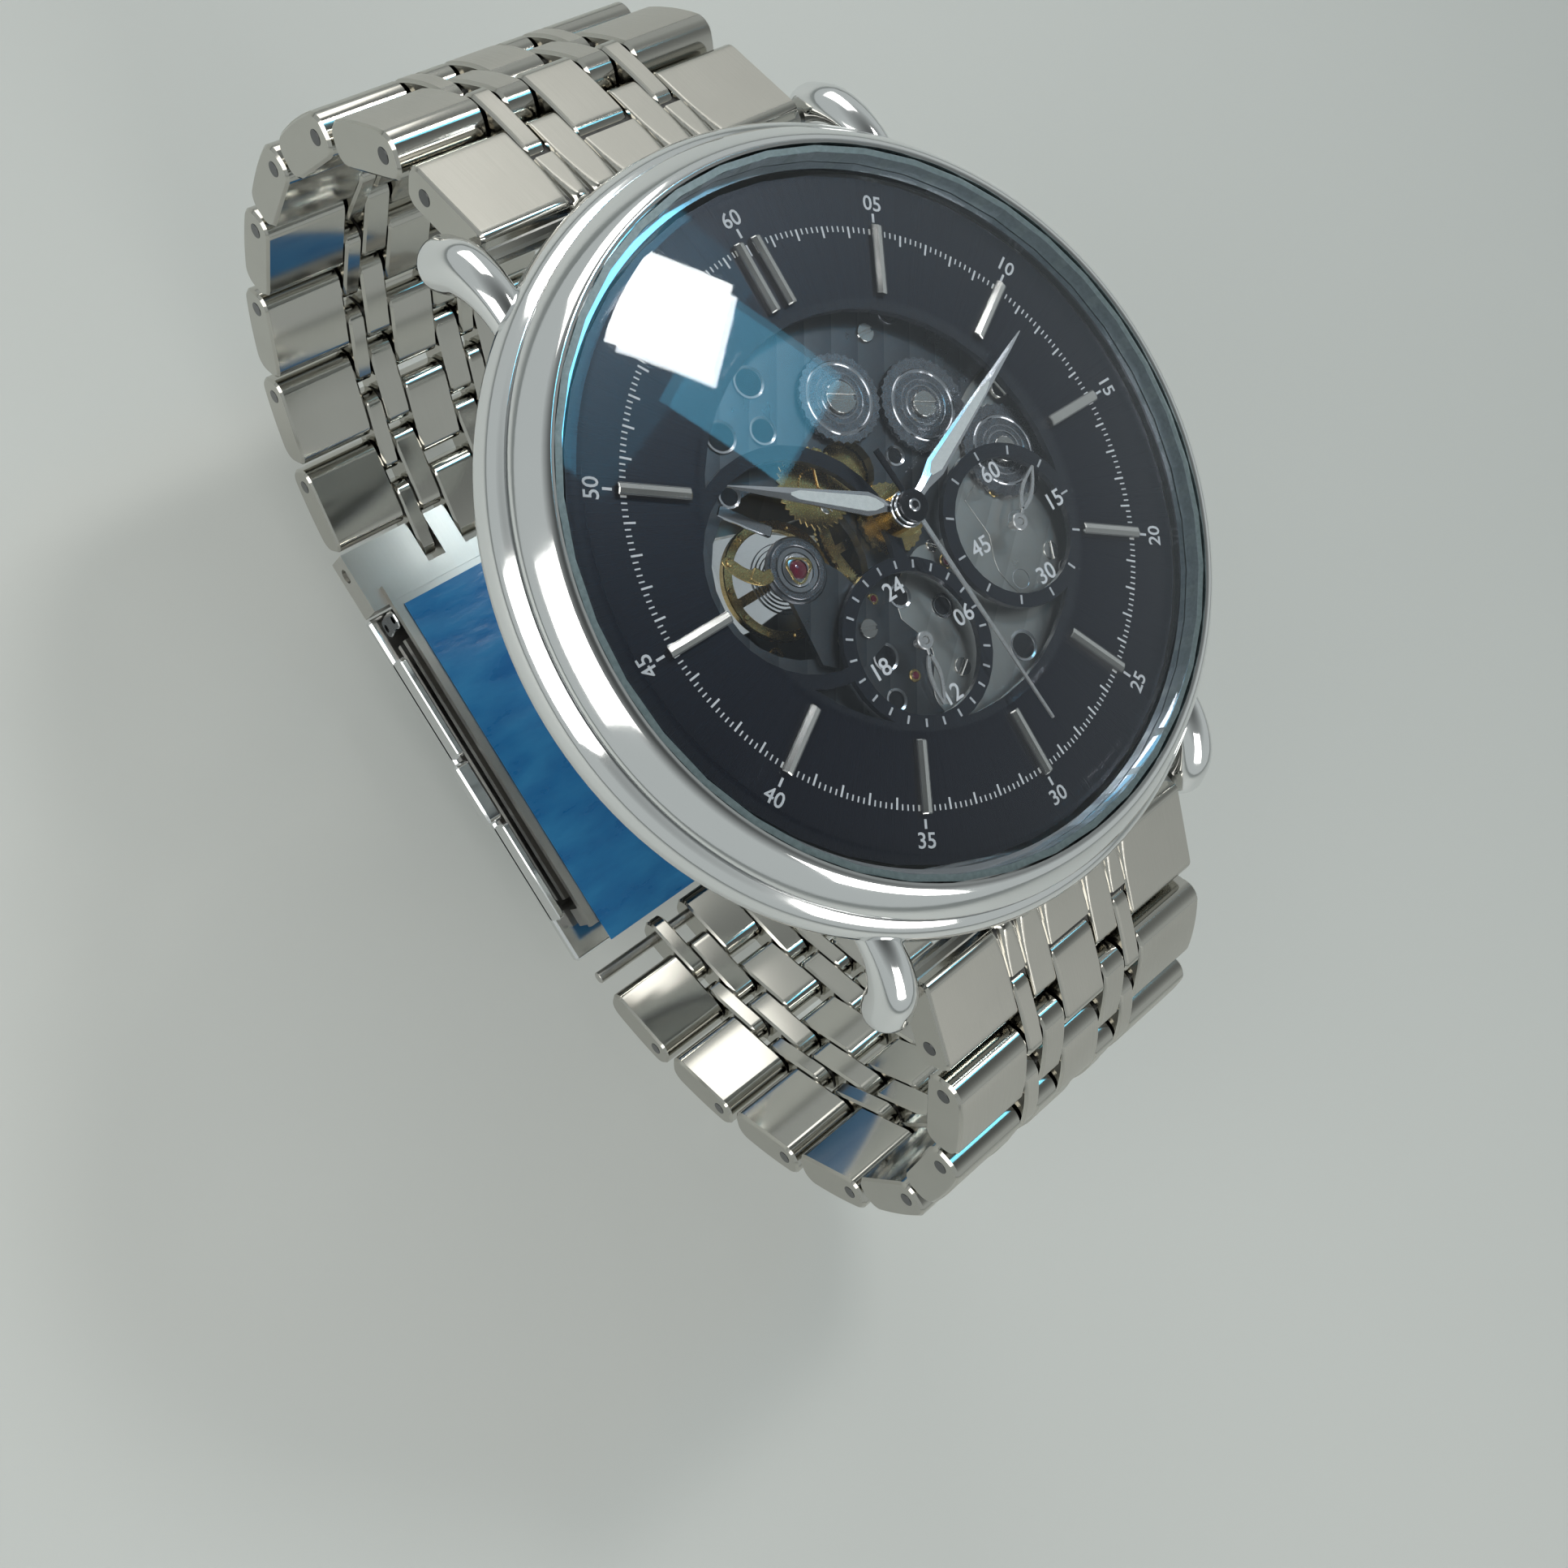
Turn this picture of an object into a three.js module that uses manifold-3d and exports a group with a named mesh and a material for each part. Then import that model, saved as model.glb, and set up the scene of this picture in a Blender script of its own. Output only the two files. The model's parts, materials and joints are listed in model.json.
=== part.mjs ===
// Automatic skeleton wristwatch with a seven-column steel bracelet and a folding clasp.
// Millimetres. +X points to 3 o'clock (the crown), +Y to 12 o'clock, +Z out of the dial.
// The origin is the centre of the case back's outer face. The bracelet is closed, in the YZ plane.
import * as THREE from "three";
import { mergeVertices } from "three/addons/utils/BufferGeometryUtils.js";
import Module from "manifold-3d";

const wasm = await Module();
wasm.setup();

// ---------------------------------------------------------------- driving sizes
const GAP = 0.3; // running gap between touching pieces that turn with a group
const FIT = 0.05; // face-to-face clearance between pieces that stand still
const RUN = 0.1; // radial clearance of a pin or arbor in its hole
const ROUND = 40; // sides of every large circle

const CASE_R = 21.4; // widest radius of the middle case
const WAIST_R = CASE_R - 0.45; // case radius below its belly
const CASE_BORE = 18; // bore of the middle case
const WALL_NECK = 19.9; // case radius level with the bracelet's end links
const DIAL_Z = 8.2; // top face of the dial
const DIAL_R = 17.8;
const DIAL_T = 0.4;
const CRYSTAL_R = 18.35;
const CRYSTAL_EDGE = 1.15; // height of the crystal's ground edge
const CRYSTAL_DOME = 1.3; // rise of the dome over that edge
const CRYSTAL_WALL = 0.55; // thickness at the middle
const BEZEL_R = 20.4;
const BEZEL_SEAT_Z = 7.95;
const GASKET_W = 0.35;
const BACK_R = 19;
const BACK_T = 1.2;
const WINDOW_R = 13.9; // case-back window
const WINDOW_T = 0.9;

const LUG_R = 1.5; // horn radius
const LUG_REACH = 21.2; // spring-bar axis from the middle, along Y
const LUG_Z = 3.2; // spring-bar axis above the case back
const SPRING_BAR_R = 0.7;

const APERTURE_R = 10.75; // large opening of the dial
const RING_W = 0.75; // width of the dial's inner rings
const BALANCE_AT = [-6.5, 0.2];
const BALANCE_APERTURE_R = 5.35;
const SECONDS_AT = [6.15, -3.6];
const HOURS24_AT = [-2.8, -6.02];
const SUBDIAL_R = 3.7; // inner radius of both sub-dial rings
const BATON = [0.55, 3.65, 0.35]; // width, length, height of an hour marker
const BATON_END_R = 15.25;
const DISC_R = 11.2; // clear disc that carries the inner figures
const DISC_T = 0.3;

const BAND_W = 21; // bracelet width
const LUG_X = BAND_W / 2 + LUG_R + 4 * FIT; // horn centre from the middle plane
const BAND_T = 2.5; // bracelet thickness
const BAND_PITCH = 6.8; // pin to pin of one row
const PIN_R = 0.45;
const COLUMN_EDGES = [1.7, 3.6, 4.9, BAND_W / 2]; // column borders from the middle outwards
const END_LINK_PIN = 4.2; // spring bar to the end link's first pin
const END_LINK_SLOPE = 25; // degrees below level
const ROW_SLOPES = {
  twelve: [54, 76, 94, 110, 126, 142, 158],
  six: [44, 66, 90, 110, 124, 138, 152],
};
const COVER_T = 0.9;
const BLADE_T = 0.6;
const BLADE_W = 18.4;
const FILM = [17, 28, 0.15]; // protective film on the inner blade

const MOVEMENT_R = 13.3;
const STEM_Z = 3.4;
const STEM_R = 0.35;
const CROWN_R = 1.9;
const CROWN_L = 2;
const CROWN_GAP = 0.2; // crown to the case's waist when pushed in

// movement levels, as heights above the case back
const WINDING_Z = [7.2, 7.5]; // winding wheels and hour wheel, under the dial
const PLATE_Z = [6.5, 7.1];
const COCK_Z = [7.15, 7.5];
const BARREL_TEETH_Z = [6.2, 6.4];
const CENTRE_Z = [5.85, 6.1];
const THIRD_Z = [5.3, 5.55];
const FOURTH_Z = [4.7, 4.9];
const ESCAPE_Z = [4.35, 4.5];
const BRIDGE_Z = [3.4, 4.1];
const ROTOR_Z = [1.9, 2.7];

// wheel train: outer radii and tooth counts; centre distances follow from them
const TIP = 0.04; // tooth tips of meshing wheels run this far apart
const TRAIN = {
  barrel: { r: 5.75, teeth: 77 },
  centrePinion: { r: 0.75, teeth: 10 },
  centre: { r: 3.4, teeth: 60 },
  thirdPinion: { r: 0.45, teeth: 8 },
  third: { r: 3.43, teeth: 64 },
  secondsPinion: { r: 0.43, teeth: 8 },
  fourth: { r: 3.0, teeth: 70 },
  escapePinion: { r: 0.3, teeth: 7 },
  escape: { r: 1.3, teeth: 15 },
  ratchet: { r: 2.4, teeth: 30 },
  idler: { r: 2.6, teeth: 32 },
  crown: { r: 2.6, teeth: 32 },
  winding: { r: 0.65, teeth: 12 },
};
const BARREL_DIR = 82; // bearings from the middle, degrees anticlockwise from 3 o'clock
const THIRD_DIR = 300;
const ESCAPE_DIR = 200;
const BALANCE_R = 3.1;

// hands: length, tail, widest half-width, height over the dial, rest angle clockwise from 12
const HANDS = {
  hour: { length: 10, tail: 0, half: 0.62, z: 0.75, angle: 302, hub: 1.0, bore: 0.74 },
  minute: { length: 12.9, tail: 0, half: 0.55, z: 1.02, angle: 67.5, hub: 0.9, bore: 0.36 },
  seconds: { length: 12.9, tail: 3.3, half: 0.09, z: 1.3, angle: 175, hub: 0.62, bore: 0 },
  small: { length: 3.3, tail: 0, half: 0.33, z: 0.45, angle: 50, hub: 0.42, bore: 0 },
};
const HAND_T = 0.14;

// ---------------------------------------------------------------- helpers
const rad = THREE.MathUtils.degToRad;
const polar = (r, degrees) => [r * Math.cos(rad(degrees)), r * Math.sin(rad(degrees))];

function solid(geometry) {
  const bare = geometry.clone();
  bare.deleteAttribute("normal");
  bare.deleteAttribute("uv");
  const merged = mergeVertices(bare, 1e-4);
  return new wasm.Manifold(
    new wasm.Mesh({
      numProp: 3,
      vertProperties: merged.attributes.position.array,
      triVerts: new Uint32Array(merged.index.array),
    }),
  );
}

function geometryOf(made) {
  const mesh = made.getMesh();
  const geometry = new THREE.BufferGeometry();
  const points = new Float32Array(mesh.numVert * 3);
  for (let i = 0; i < mesh.numVert; i++) {
    const first = i * mesh.numProp;
    points.set(mesh.vertProperties.subarray(first, first + 3), i * 3);
  }
  geometry.setAttribute("position", new THREE.BufferAttribute(points, 3));
  geometry.setIndex(new THREE.BufferAttribute(mesh.triVerts, 1));
  geometry.computeVertexNormals();
  return geometry;
}

const join = (...parts) => parts.reduce((sum, part) => sum.add(part));
const cut = (body, ...tools) => tools.reduce((rest, tool) => rest.subtract(tool), body);

// A ring or disc turned about Z from a closed outline of [radius, height] points.
function turned(outline, segments = ROUND) {
  let area = 0;
  outline.forEach(([r, z], i) => {
    const [r2, z2] = outline[(i + 1) % outline.length];
    area += r * z2 - r2 * z;
  });
  const ordered = area > 0 ? outline : [...outline].reverse();
  const onAxis = ordered.findIndex(([r]) => r === 0);
  const start = onAxis < 0 ? 0 : onAxis;
  let points = [...ordered.slice(start), ...ordered.slice(0, start)];
  if (onAxis >= 0 && points[1][0] === 0) points = [...points.slice(1), points[0]];
  if (onAxis < 0) points.push(points[0]);
  const profile = points.map(([r, z]) => new THREE.Vector2(r, z));
  return solid(new THREE.LatheGeometry(profile, segments).rotateX(Math.PI / 2));
}

// A disc, or a tube when it has a bore, from z0 to z1 around [x, y].
function disc(r, z0, z1, [x, y] = [0, 0], bore = 0, segments = 32) {
  const shape = new THREE.Shape().absarc(0, 0, r, 0, 2 * Math.PI);
  if (bore) shape.holes.push(new THREE.Path().absarc(0, 0, bore, 0, 2 * Math.PI, true));
  return plate(shape, z0, z1, segments / 2).translate([x, y, 0]);
}

function plate(shape, z0, z1, curveSegments = 16) {
  const options = { depth: z1 - z0, bevelEnabled: false, curveSegments };
  return solid(new THREE.ExtrudeGeometry(shape, options).translate(0, 0, z0));
}

const outline = (points) => new THREE.Shape(points.map(([x, y]) => new THREE.Vector2(x, y)));

function block(x, y, z, [cx, cy, cz] = [0, 0, 0]) {
  return solid(new THREE.BoxGeometry(x, y, z).translate(cx, cy, cz));
}

// A round bar along X from x0 to x1 at [y, z].
function barX(r, x0, x1, y, z, sides = 12) {
  const bar = new THREE.CylinderGeometry(r, r, x1 - x0, sides).rotateZ(Math.PI / 2);
  return solid(bar.translate((x0 + x1) / 2, y, z));
}

// A toothed wheel: pointed teeth on a rim, straight spokes and a hub.
function wheel({ r, teeth }, [z0, z1], bore, spokes = 0) {
  const depth = Math.min(0.35, (1.6 * r) / teeth);
  const points = [];
  for (let i = 0; i < teeth; i++) {
    const step = 360 / teeth;
    points.push(polar(r, i * step), polar(r - depth, (i + 0.5) * step));
  }
  let body = plate(outline(points), z0, z1);
  const rim = r - depth - Math.max(0.3, r * 0.12);
  const hub = Math.max(bore + 0.25, r * 0.22);
  if (spokes) {
    let window = disc(rim, z0 - 1, z1 + 1, [0, 0], hub, 16);
    for (let i = 0; i < spokes; i++) {
      const arm = block(2 * r, r * 0.14, 4, [r, 0, (z0 + z1) / 2]);
      window = window.subtract(arm.rotate([0, 0, (360 / spokes) * i]));
    }
    body = body.subtract(window);
  }
  return bore ? body.subtract(disc(bore, z0 - 1, z1 + 1, [0, 0], 0, 12)) : body;
}

const metal = (color, roughness, metalness = 1) =>
  new THREE.MeshStandardMaterial({ color, roughness, metalness });
const finish = {
  polished: metal(0xd8dadb, 0.12),
  satin: metal(0xb9b9b4, 0.38),
  gunmetal: metal(0x4a4c50, 0.35),
  nickel: metal(0xa9a9a2, 0.3),
  gilt: metal(0xc9a455, 0.28),
  blackDial: metal(0x14161d, 0.5, 0.2),
  glass: metal(0xdfe9ea, 0.05, 0),
  seal: metal(0x22252a, 0.7, 0),
  ruby: metal(0xa01530, 0.1, 0),
  blue: metal(0x1f7fb8, 0.4, 0),
  handSteel: metal(0xcfd3d6, 0.2),
};

const watch = new THREE.Group();
function add(name, made, material, parent = watch) {
  const mesh = new THREE.Mesh(geometryOf(made), material);
  mesh.name = name;
  parent.add(mesh);
  return mesh;
}

// ---------------------------------------------------------------- case
const CRYSTAL_SEAT_Z = DIAL_Z + 0.4;
const BEZEL_TOP_Z = CRYSTAL_SEAT_Z + CRYSTAL_EDGE;
const BEZEL_BORE = CRYSTAL_R + GASKET_W + 2 * FIT;
const CASE_FOOT_Z = BACK_T + FIT;

function horn(side, end) {
  const path = new THREE.CatmullRomCurve3([
    new THREE.Vector3(LUG_X, LUG_REACH - 5.6, LUG_Z + 2.6),
    new THREE.Vector3(LUG_X, LUG_REACH - 3.0, LUG_Z + 2.5),
    new THREE.Vector3(LUG_X, LUG_REACH - 1.0, LUG_Z + 1.5),
    new THREE.Vector3(LUG_X, LUG_REACH, LUG_Z),
  ]);
  const section = new THREE.Shape().absarc(0, 0, LUG_R, 0, 2 * Math.PI);
  const bar = solid(
    new THREE.ExtrudeGeometry(section, { extrudePath: path, steps: 4, curveSegments: 5 }),
  );
  const tip = solid(new THREE.SphereGeometry(LUG_R, 10, 6).translate(LUG_X, LUG_REACH, LUG_Z));
  return bar.add(tip).scale([side, end, 1]);
}

function middleCase() {
  const shell = turned([
    [CASE_BORE, CASE_FOOT_Z],
    [WALL_NECK - 0.5, CASE_FOOT_Z],
    [WALL_NECK - 0.3, 2.4],
    [WALL_NECK, 4.3],
    [WAIST_R, 5.2],
    [CASE_R, 6.3],
    [CASE_R - 0.15, 7.2],
    [BEZEL_R + 0.15, BEZEL_SEAT_Z - FIT],
    [BEZEL_BORE - 0.02, BEZEL_SEAT_Z - FIT],
    [BEZEL_BORE - 0.02, CRYSTAL_SEAT_Z - FIT],
    [CASE_BORE, CRYSTAL_SEAT_Z - FIT],
  ]);
  const bore = disc(CASE_BORE + 0.01, -5, 20, [0, 0], 0, ROUND);
  const horns = [horn(1, 1), horn(-1, 1), horn(1, -1), horn(-1, -1)].map((h) => cut(h, bore));
  const stemHole = barX(STEM_R + 3 * RUN, CASE_BORE - 2, CASE_R + 2, 0, STEM_Z);
  return cut(join(shell, ...horns), stemHole);
}

const bezel = turned([
  [BEZEL_BORE, BEZEL_SEAT_Z],
  [BEZEL_R, BEZEL_SEAT_Z],
  [BEZEL_R, BEZEL_SEAT_Z + 0.35],
  [BEZEL_R - 0.35, BEZEL_SEAT_Z + 0.85],
  [BEZEL_R - 0.9, BEZEL_TOP_Z - 0.12],
  [BEZEL_R - 1.2, BEZEL_TOP_Z],
  [BEZEL_BORE, BEZEL_TOP_Z],
]);

function crystal() {
  const top = BEZEL_TOP_Z + CRYSTAL_DOME;
  const rise = (share) => BEZEL_TOP_Z + CRYSTAL_DOME * (1 - share * share);
  const skirt = CRYSTAL_R - 1;
  const outside = [1, 0.75, 0.5, 0.25].map((s) => [(CRYSTAL_R - 0.2) * s, rise(s) + 0.02]);
  const inside = [0.4, 0.7, 0.94].map((s) => [skirt * s, rise(s) - CRYSTAL_WALL]);
  return turned([
    [0, top - CRYSTAL_WALL],
    ...inside,
    [skirt, CRYSTAL_SEAT_Z],
    [CRYSTAL_R, CRYSTAL_SEAT_Z],
    [CRYSTAL_R, BEZEL_TOP_Z - 0.1],
    ...outside,
    [0, top + 0.02],
  ]);
}

const gasket = turned([
  [CRYSTAL_R + FIT, CRYSTAL_SEAT_Z],
  [BEZEL_BORE - FIT, CRYSTAL_SEAT_Z],
  [BEZEL_BORE - FIT, BEZEL_TOP_Z - 0.2],
  [CRYSTAL_R + FIT, BEZEL_TOP_Z - 0.2],
]);

const NECK_R = CASE_BORE - FIT;
const caseBack = turned([
  [WINDOW_R + FIT, 0],
  [BACK_R - 0.5, 0],
  [BACK_R, 0.4],
  [BACK_R, BACK_T],
  [NECK_R, BACK_T],
  [NECK_R, BACK_T + 0.6],
  [NECK_R - 1, BACK_T + 0.6],
  [NECK_R - 1, WINDOW_T + 0.25],
  [WINDOW_R - 0.5, WINDOW_T + 0.25],
  [WINDOW_R - 0.5, WINDOW_T + FIT],
  [WINDOW_R + FIT, WINDOW_T + FIT],
]);
const backWindow = disc(WINDOW_R, 0, WINDOW_T, [0, 0], 0, ROUND);

add("middle_case", middleCase(), finish.polished);
add("bezel", bezel, finish.polished);
add("crystal", crystal(), finish.glass);
add("crystal_gasket", gasket, finish.seal);
add("case_back", caseBack, finish.polished);
add("case_back_window", backWindow, finish.glass);

// ---------------------------------------------------------------- dial
function dial() {
  const [z0, z1] = [DIAL_Z - DIAL_T, DIAL_Z];
  const ring = (r, at) => disc(r + RING_W, z0, z1, at, 0, 32);
  const hole = (r, at) => disc(r, z0 - 1, z1 + 1, at, 0, 32);
  let face = disc(DIAL_R, z0, z1, [0, 0], APERTURE_R, ROUND);
  face = join(face, ring(BALANCE_APERTURE_R, BALANCE_AT));
  face = cut(face, hole(BALANCE_APERTURE_R, BALANCE_AT));
  face = join(face, ring(SUBDIAL_R, HOURS24_AT), ring(SUBDIAL_R, SECONDS_AT));
  face = cut(face, hole(SUBDIAL_R, HOURS24_AT), hole(SUBDIAL_R, SECONDS_AT), hole(1.25, [0, 0]));
  const [width, length, height] = BATON;
  const middle = [0, BATON_END_R - length / 2, DIAL_Z + height / 2 - FIT];
  for (let hour = 0; hour < 12; hour++) {
    const offsets = hour ? [0] : [-width, width]; // a double marker at 12
    for (const offset of offsets) {
      const bar = block(width, length, height + FIT, middle).translate([offset, 0, 0]);
      face = face.add(bar.rotate([0, 0, -30 * hour]));
    }
  }
  return face;
}

const DISC_Z = DIAL_Z + FIT;
const discHoles = [[0, 0], SECONDS_AT, HOURS24_AT].map((at, i) =>
  disc(i ? 0.4 : 1.3, 0, 20, at, 0, 16),
);
add("dial", dial(), finish.blackDial);
add(
  "figure_disc",
  cut(disc(DISC_R, DISC_Z, DISC_Z + DISC_T, [0, 0], 0, ROUND), ...discHoles),
  finish.glass,
);

// ---------------------------------------------------------------- movement
const distance = (a, b) => TRAIN[a].r + TRAIN[b].r + TIP;

// The point at distance ra from a and rb from b, on the left of the line from b to a.
function meeting(a, ra, b, rb) {
  const [dx, dy] = [b[0] - a[0], b[1] - a[1]];
  const d = Math.hypot(dx, dy);
  const along = (ra * ra - rb * rb + d * d) / (2 * d);
  const off = Math.sqrt(ra * ra - along * along);
  return [a[0] + (along * dx - off * dy) / d, a[1] + (along * dy + off * dx) / d];
}
const BARREL_AT = polar(distance("barrel", "centrePinion"), BARREL_DIR);
const THIRD_AT = polar(distance("centre", "thirdPinion"), THIRD_DIR);
const ESCAPE_AT = polar(distance("fourth", "escapePinion"), ESCAPE_DIR);
const CROWN_WHEEL_AT = [8.6, 0]; // on the stem's line
const IDLER_AT = meeting(
  BARREL_AT,
  distance("ratchet", "idler"),
  CROWN_WHEEL_AT,
  distance("idler", "crown"),
);
const STAFF_R = 0.16;
const HOLDER_R = CASE_BORE - 0.2;

function mainPlate() {
  const [z0, z1] = PLATE_Z;
  const hole = (r, at, sides = 20) => disc(r, z0 - 1, z1 + 1, at, 0, sides);
  const drilled = [
    [0.7, [-6.2, 7.6]],
    [0.7, [-3.2, 9.3]],
    [0.6, [-4.3, -5.8]],
    [0.5, [-1.7, -3.6]],
    [0.7, [3.6, -9.3]],
    [0.5, [6.6, 9.2]],
    [0.45, [9.6, -5.4]],
  ];
  return cut(
    disc(MOVEMENT_R, z0, z1, [0, 0], 0, ROUND),
    hole(4.4, BALANCE_AT, 24),
    hole(1.15, [0, 0], 12),
    hole(1.6, [-0.6, 3.2], 16),
    hole(0.5, BARREL_AT, 12),
    hole(2.1, [3.2, -6.4], 16),
    hole(TRAIN.crown.r + 0.2, CROWN_WHEEL_AT, 20),
    ...drilled.map(([r, at]) => hole(r, at, 8)),
  );
}

function balanceCock() {
  const [x, y] = BALANCE_AT;
  const arm = outline([
    [x - 1.1, y - 0.8],
    [x + 0.6, y + 1.2],
    [x + 2.2, y - 1.2],
    [x + 3.0, y - 3.6],
    [x + 2.4, y - 5.4],
    [x + 0.2, y - 5.9],
    [x - 1.4, y - 4.6],
  ]);
  const body = join(plate(arm, ...COCK_Z), disc(1.45, ...COCK_Z, BALANCE_AT, 0, 24));
  return cut(
    body,
    disc(STAFF_R + RUN, 0, 20, BALANCE_AT, 0, 12),
    disc(0.45, 0, 20, [x + 0.4, y - 4.2], 0, 12),
  );
}

function bridge(from, to, inner) {
  const edge = [];
  const steps = 16;
  for (let i = 0; i <= steps; i++) {
    edge.push(polar(MOVEMENT_R, from + ((to - from) * i) / steps));
  }
  return plate(outline([...edge, ...inner]), ...BRIDGE_Z);
}

const pillar = (at) => disc(0.55, BRIDGE_Z[1] - FIT, PLATE_Z[0] - FIT, at, 0, 10);
function barrelBridge() {
  const body = bridge(8, 158, [[-4, 2.6], [0, 1.9], [4, 0.9]]);
  return cut(
    join(body, ...[24, 148].map((d) => pillar(polar(12.4, d)))),
    disc(0.5, 0, 20, BARREL_AT, 0, 12),
    disc(0.7, 0, 20, [-6.4, 8.6], 0, 12),
    disc(0.7, 0, 20, [6.8, 6.6], 0, 12),
  );
}
function trainBridge() {
  const body = bridge(232, 352, [[4.6, 0.2], [1.4, 1.2], [-1.4, 1.2], [-4.6, -3.4]]);
  return cut(
    join(body, ...[244, 340].map((d) => pillar(polar(12.4, d)))),
    disc(0.45, 0, 20, [0, 0], 0, 12),
    disc(0.4, 0, 20, THIRD_AT, 0, 12),
    disc(0.9, 0, 20, [6.2, -5.2], 0, 12),
  );
}

const holder = cut(
  disc(HOLDER_R, ROTOR_Z[1] + GAP, DIAL_Z - DIAL_T - FIT, [0, 0], MOVEMENT_R + FIT, ROUND),
  barX(STEM_R + 3 * RUN, 10, 30, 0, STEM_Z),
);

// The jewel and the shock spring's ring over the balance staff.
const jewel = join(
  disc(0.85, COCK_Z[1] + FIT, COCK_Z[1] + 0.2, BALANCE_AT, 0.5, 16),
  disc(0.52, COCK_Z[1] + FIT, COCK_Z[1] + 0.3, BALANCE_AT, 0, 12),
);
function regulator() {
  const z = [COCK_Z[1] + FIT, COCK_Z[1] + 0.15];
  const arm = block(0.5, 3.1, z[1] - z[0], [0, 2.65, (z[0] + z[1]) / 2]).rotate([0, 0, 52]);
  return join(disc(1.3, ...z, [0, 0], 0.95, 20), arm).translate([...BALANCE_AT, 0]);
}

add("movement_holder", holder, finish.nickel);
add("main_plate", mainPlate(), finish.gunmetal);
add("barrel_bridge", barrelBridge(), finish.nickel);
add("train_bridge", trainBridge(), finish.nickel);
add("balance_cock", balanceCock(), finish.gunmetal);
add("balance_jewel", jewel, finish.ruby);
add("regulator", regulator(), finish.gilt);

const placed = (made, [x, y]) => made.translate([x, y, 0]);

// barrel: toothed lid, drum and arbor
const barrel = join(
  wheel(TRAIN.barrel, BARREL_TEETH_Z, 0),
  disc(2.9, BARREL_TEETH_Z[0] - 1.7, BARREL_TEETH_Z[0] + FIT, [0, 0], 0, 28),
);
const ratchet = join(
  wheel(TRAIN.ratchet, WINDING_Z, 0),
  disc(0.35, BARREL_TEETH_Z[1] + FIT, WINDING_Z[0] + FIT, [0, 0], 0, 10),
);
add("barrel", placed(barrel, BARREL_AT), finish.gilt);
add("ratchet_wheel", placed(ratchet, BARREL_AT), finish.satin);
add("idler_wheel", placed(wheel(TRAIN.idler, WINDING_Z, 0), IDLER_AT), finish.satin);
const faceTeeth = disc(1.9, BRIDGE_Z[1] + 2 * FIT, WINDING_Z[0] + FIT, [0, 0], 1.5, 16);
const crownWheel = join(wheel(TRAIN.crown, WINDING_Z, 0), faceTeeth);
add("crown_wheel", placed(crownWheel, CROWN_WHEEL_AT), finish.satin);

// the centre wheel's tube carries the minute hand; the seconds arbor runs inside it
const TUBE_R = 0.6;
const centreWheel = cut(
  join(
    wheel(TRAIN.centre, CENTRE_Z, 0, 4),
    placed(wheel(TRAIN.centrePinion, [CENTRE_Z[1] - FIT, BARREL_TEETH_Z[1] + FIT], 0), [0, 0]),
    disc(TUBE_R, CENTRE_Z[0], DIAL_Z + HANDS.minute.z - FIT, [0, 0], 0, 12),
  ),
  disc(HANDS.minute.bore, 0, 20, [0, 0], 0, 12),
);
add("centre_wheel", centreWheel, finish.gilt);

const thirdWheel = join(
  wheel(TRAIN.third, THIRD_Z, 0, 4),
  wheel(TRAIN.thirdPinion, [THIRD_Z[1] - FIT, CENTRE_Z[1]], 0),
  disc(STAFF_R, BRIDGE_Z[1] - GAP, PLATE_Z[0] - GAP, [0, 0], 0, 8),
);
add("third_wheel", placed(thirdWheel, THIRD_AT), finish.gilt);

const fourthWheel = join(
  wheel(TRAIN.fourth, FOURTH_Z, 0, 4),
  wheel(TRAIN.secondsPinion, [FOURTH_Z[1] - FIT, THIRD_Z[1]], 0),
  disc(0.2, BRIDGE_Z[1] - GAP, DIAL_Z + HANDS.seconds.z - FIT, [0, 0], 0, 10),
);
add("fourth_wheel", fourthWheel, finish.gilt);

const escapeWheel = join(
  wheel(TRAIN.escape, ESCAPE_Z, 0, 3),
  wheel(TRAIN.escapePinion, [ESCAPE_Z[1] - FIT, FOURTH_Z[1]], 0),
  disc(0.1, ESCAPE_Z[0] - 0.2, FOURTH_Z[1] + 0.2, [0, 0], 0, 8),
);
add("escape_wheel", placed(escapeWheel, ESCAPE_AT), finish.satin);

// hour wheel with the tube that carries the hour hand
const hourWheel = join(
  wheel({ r: 1.9, teeth: 28 }, WINDING_Z, 0),
  disc(0.95, WINDING_Z[1] - FIT, DIAL_Z + HANDS.hour.z - FIT, [0, 0], 0, 14),
);
add("hour_wheel", cut(hourWheel, disc(HANDS.hour.bore, 0, 20, [0, 0], 0, 14)), finish.satin);

// balance: rim, two arms, staff; hairspring above it
const BALANCE_Z = [5.2, 5.7];
const balance = join(
  disc(BALANCE_R, ...BALANCE_Z, [0, 0], BALANCE_R - 0.5, 28),
  block(2 * BALANCE_R - 0.6, 0.45, 0.3, [0, 0, (BALANCE_Z[0] + BALANCE_Z[1]) / 2]),
  disc(0.45, BALANCE_Z[0], BALANCE_Z[1], [0, 0], 0, 12),
  disc(STAFF_R, 4.5, COCK_Z[1] - FIT, [0, 0], 0, 8),
);
add("balance_wheel", placed(balance, BALANCE_AT), finish.gilt);

function hairspring() {
  const turns = 3;
  const steps = 42;
  const [inner, outer, half] = [0.5, 1.9, 0.06];
  const side = (offset) =>
    Array.from({ length: steps + 1 }, (_, i) => {
      const r = inner + ((outer - inner) * i) / steps + offset;
      return polar(r, (360 * turns * i) / steps);
    });
  return plate(outline([...side(half), ...side(-half).reverse()]), 6.0, 6.15);
}
add("hairspring", placed(hairspring(), BALANCE_AT), finish.satin);

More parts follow.
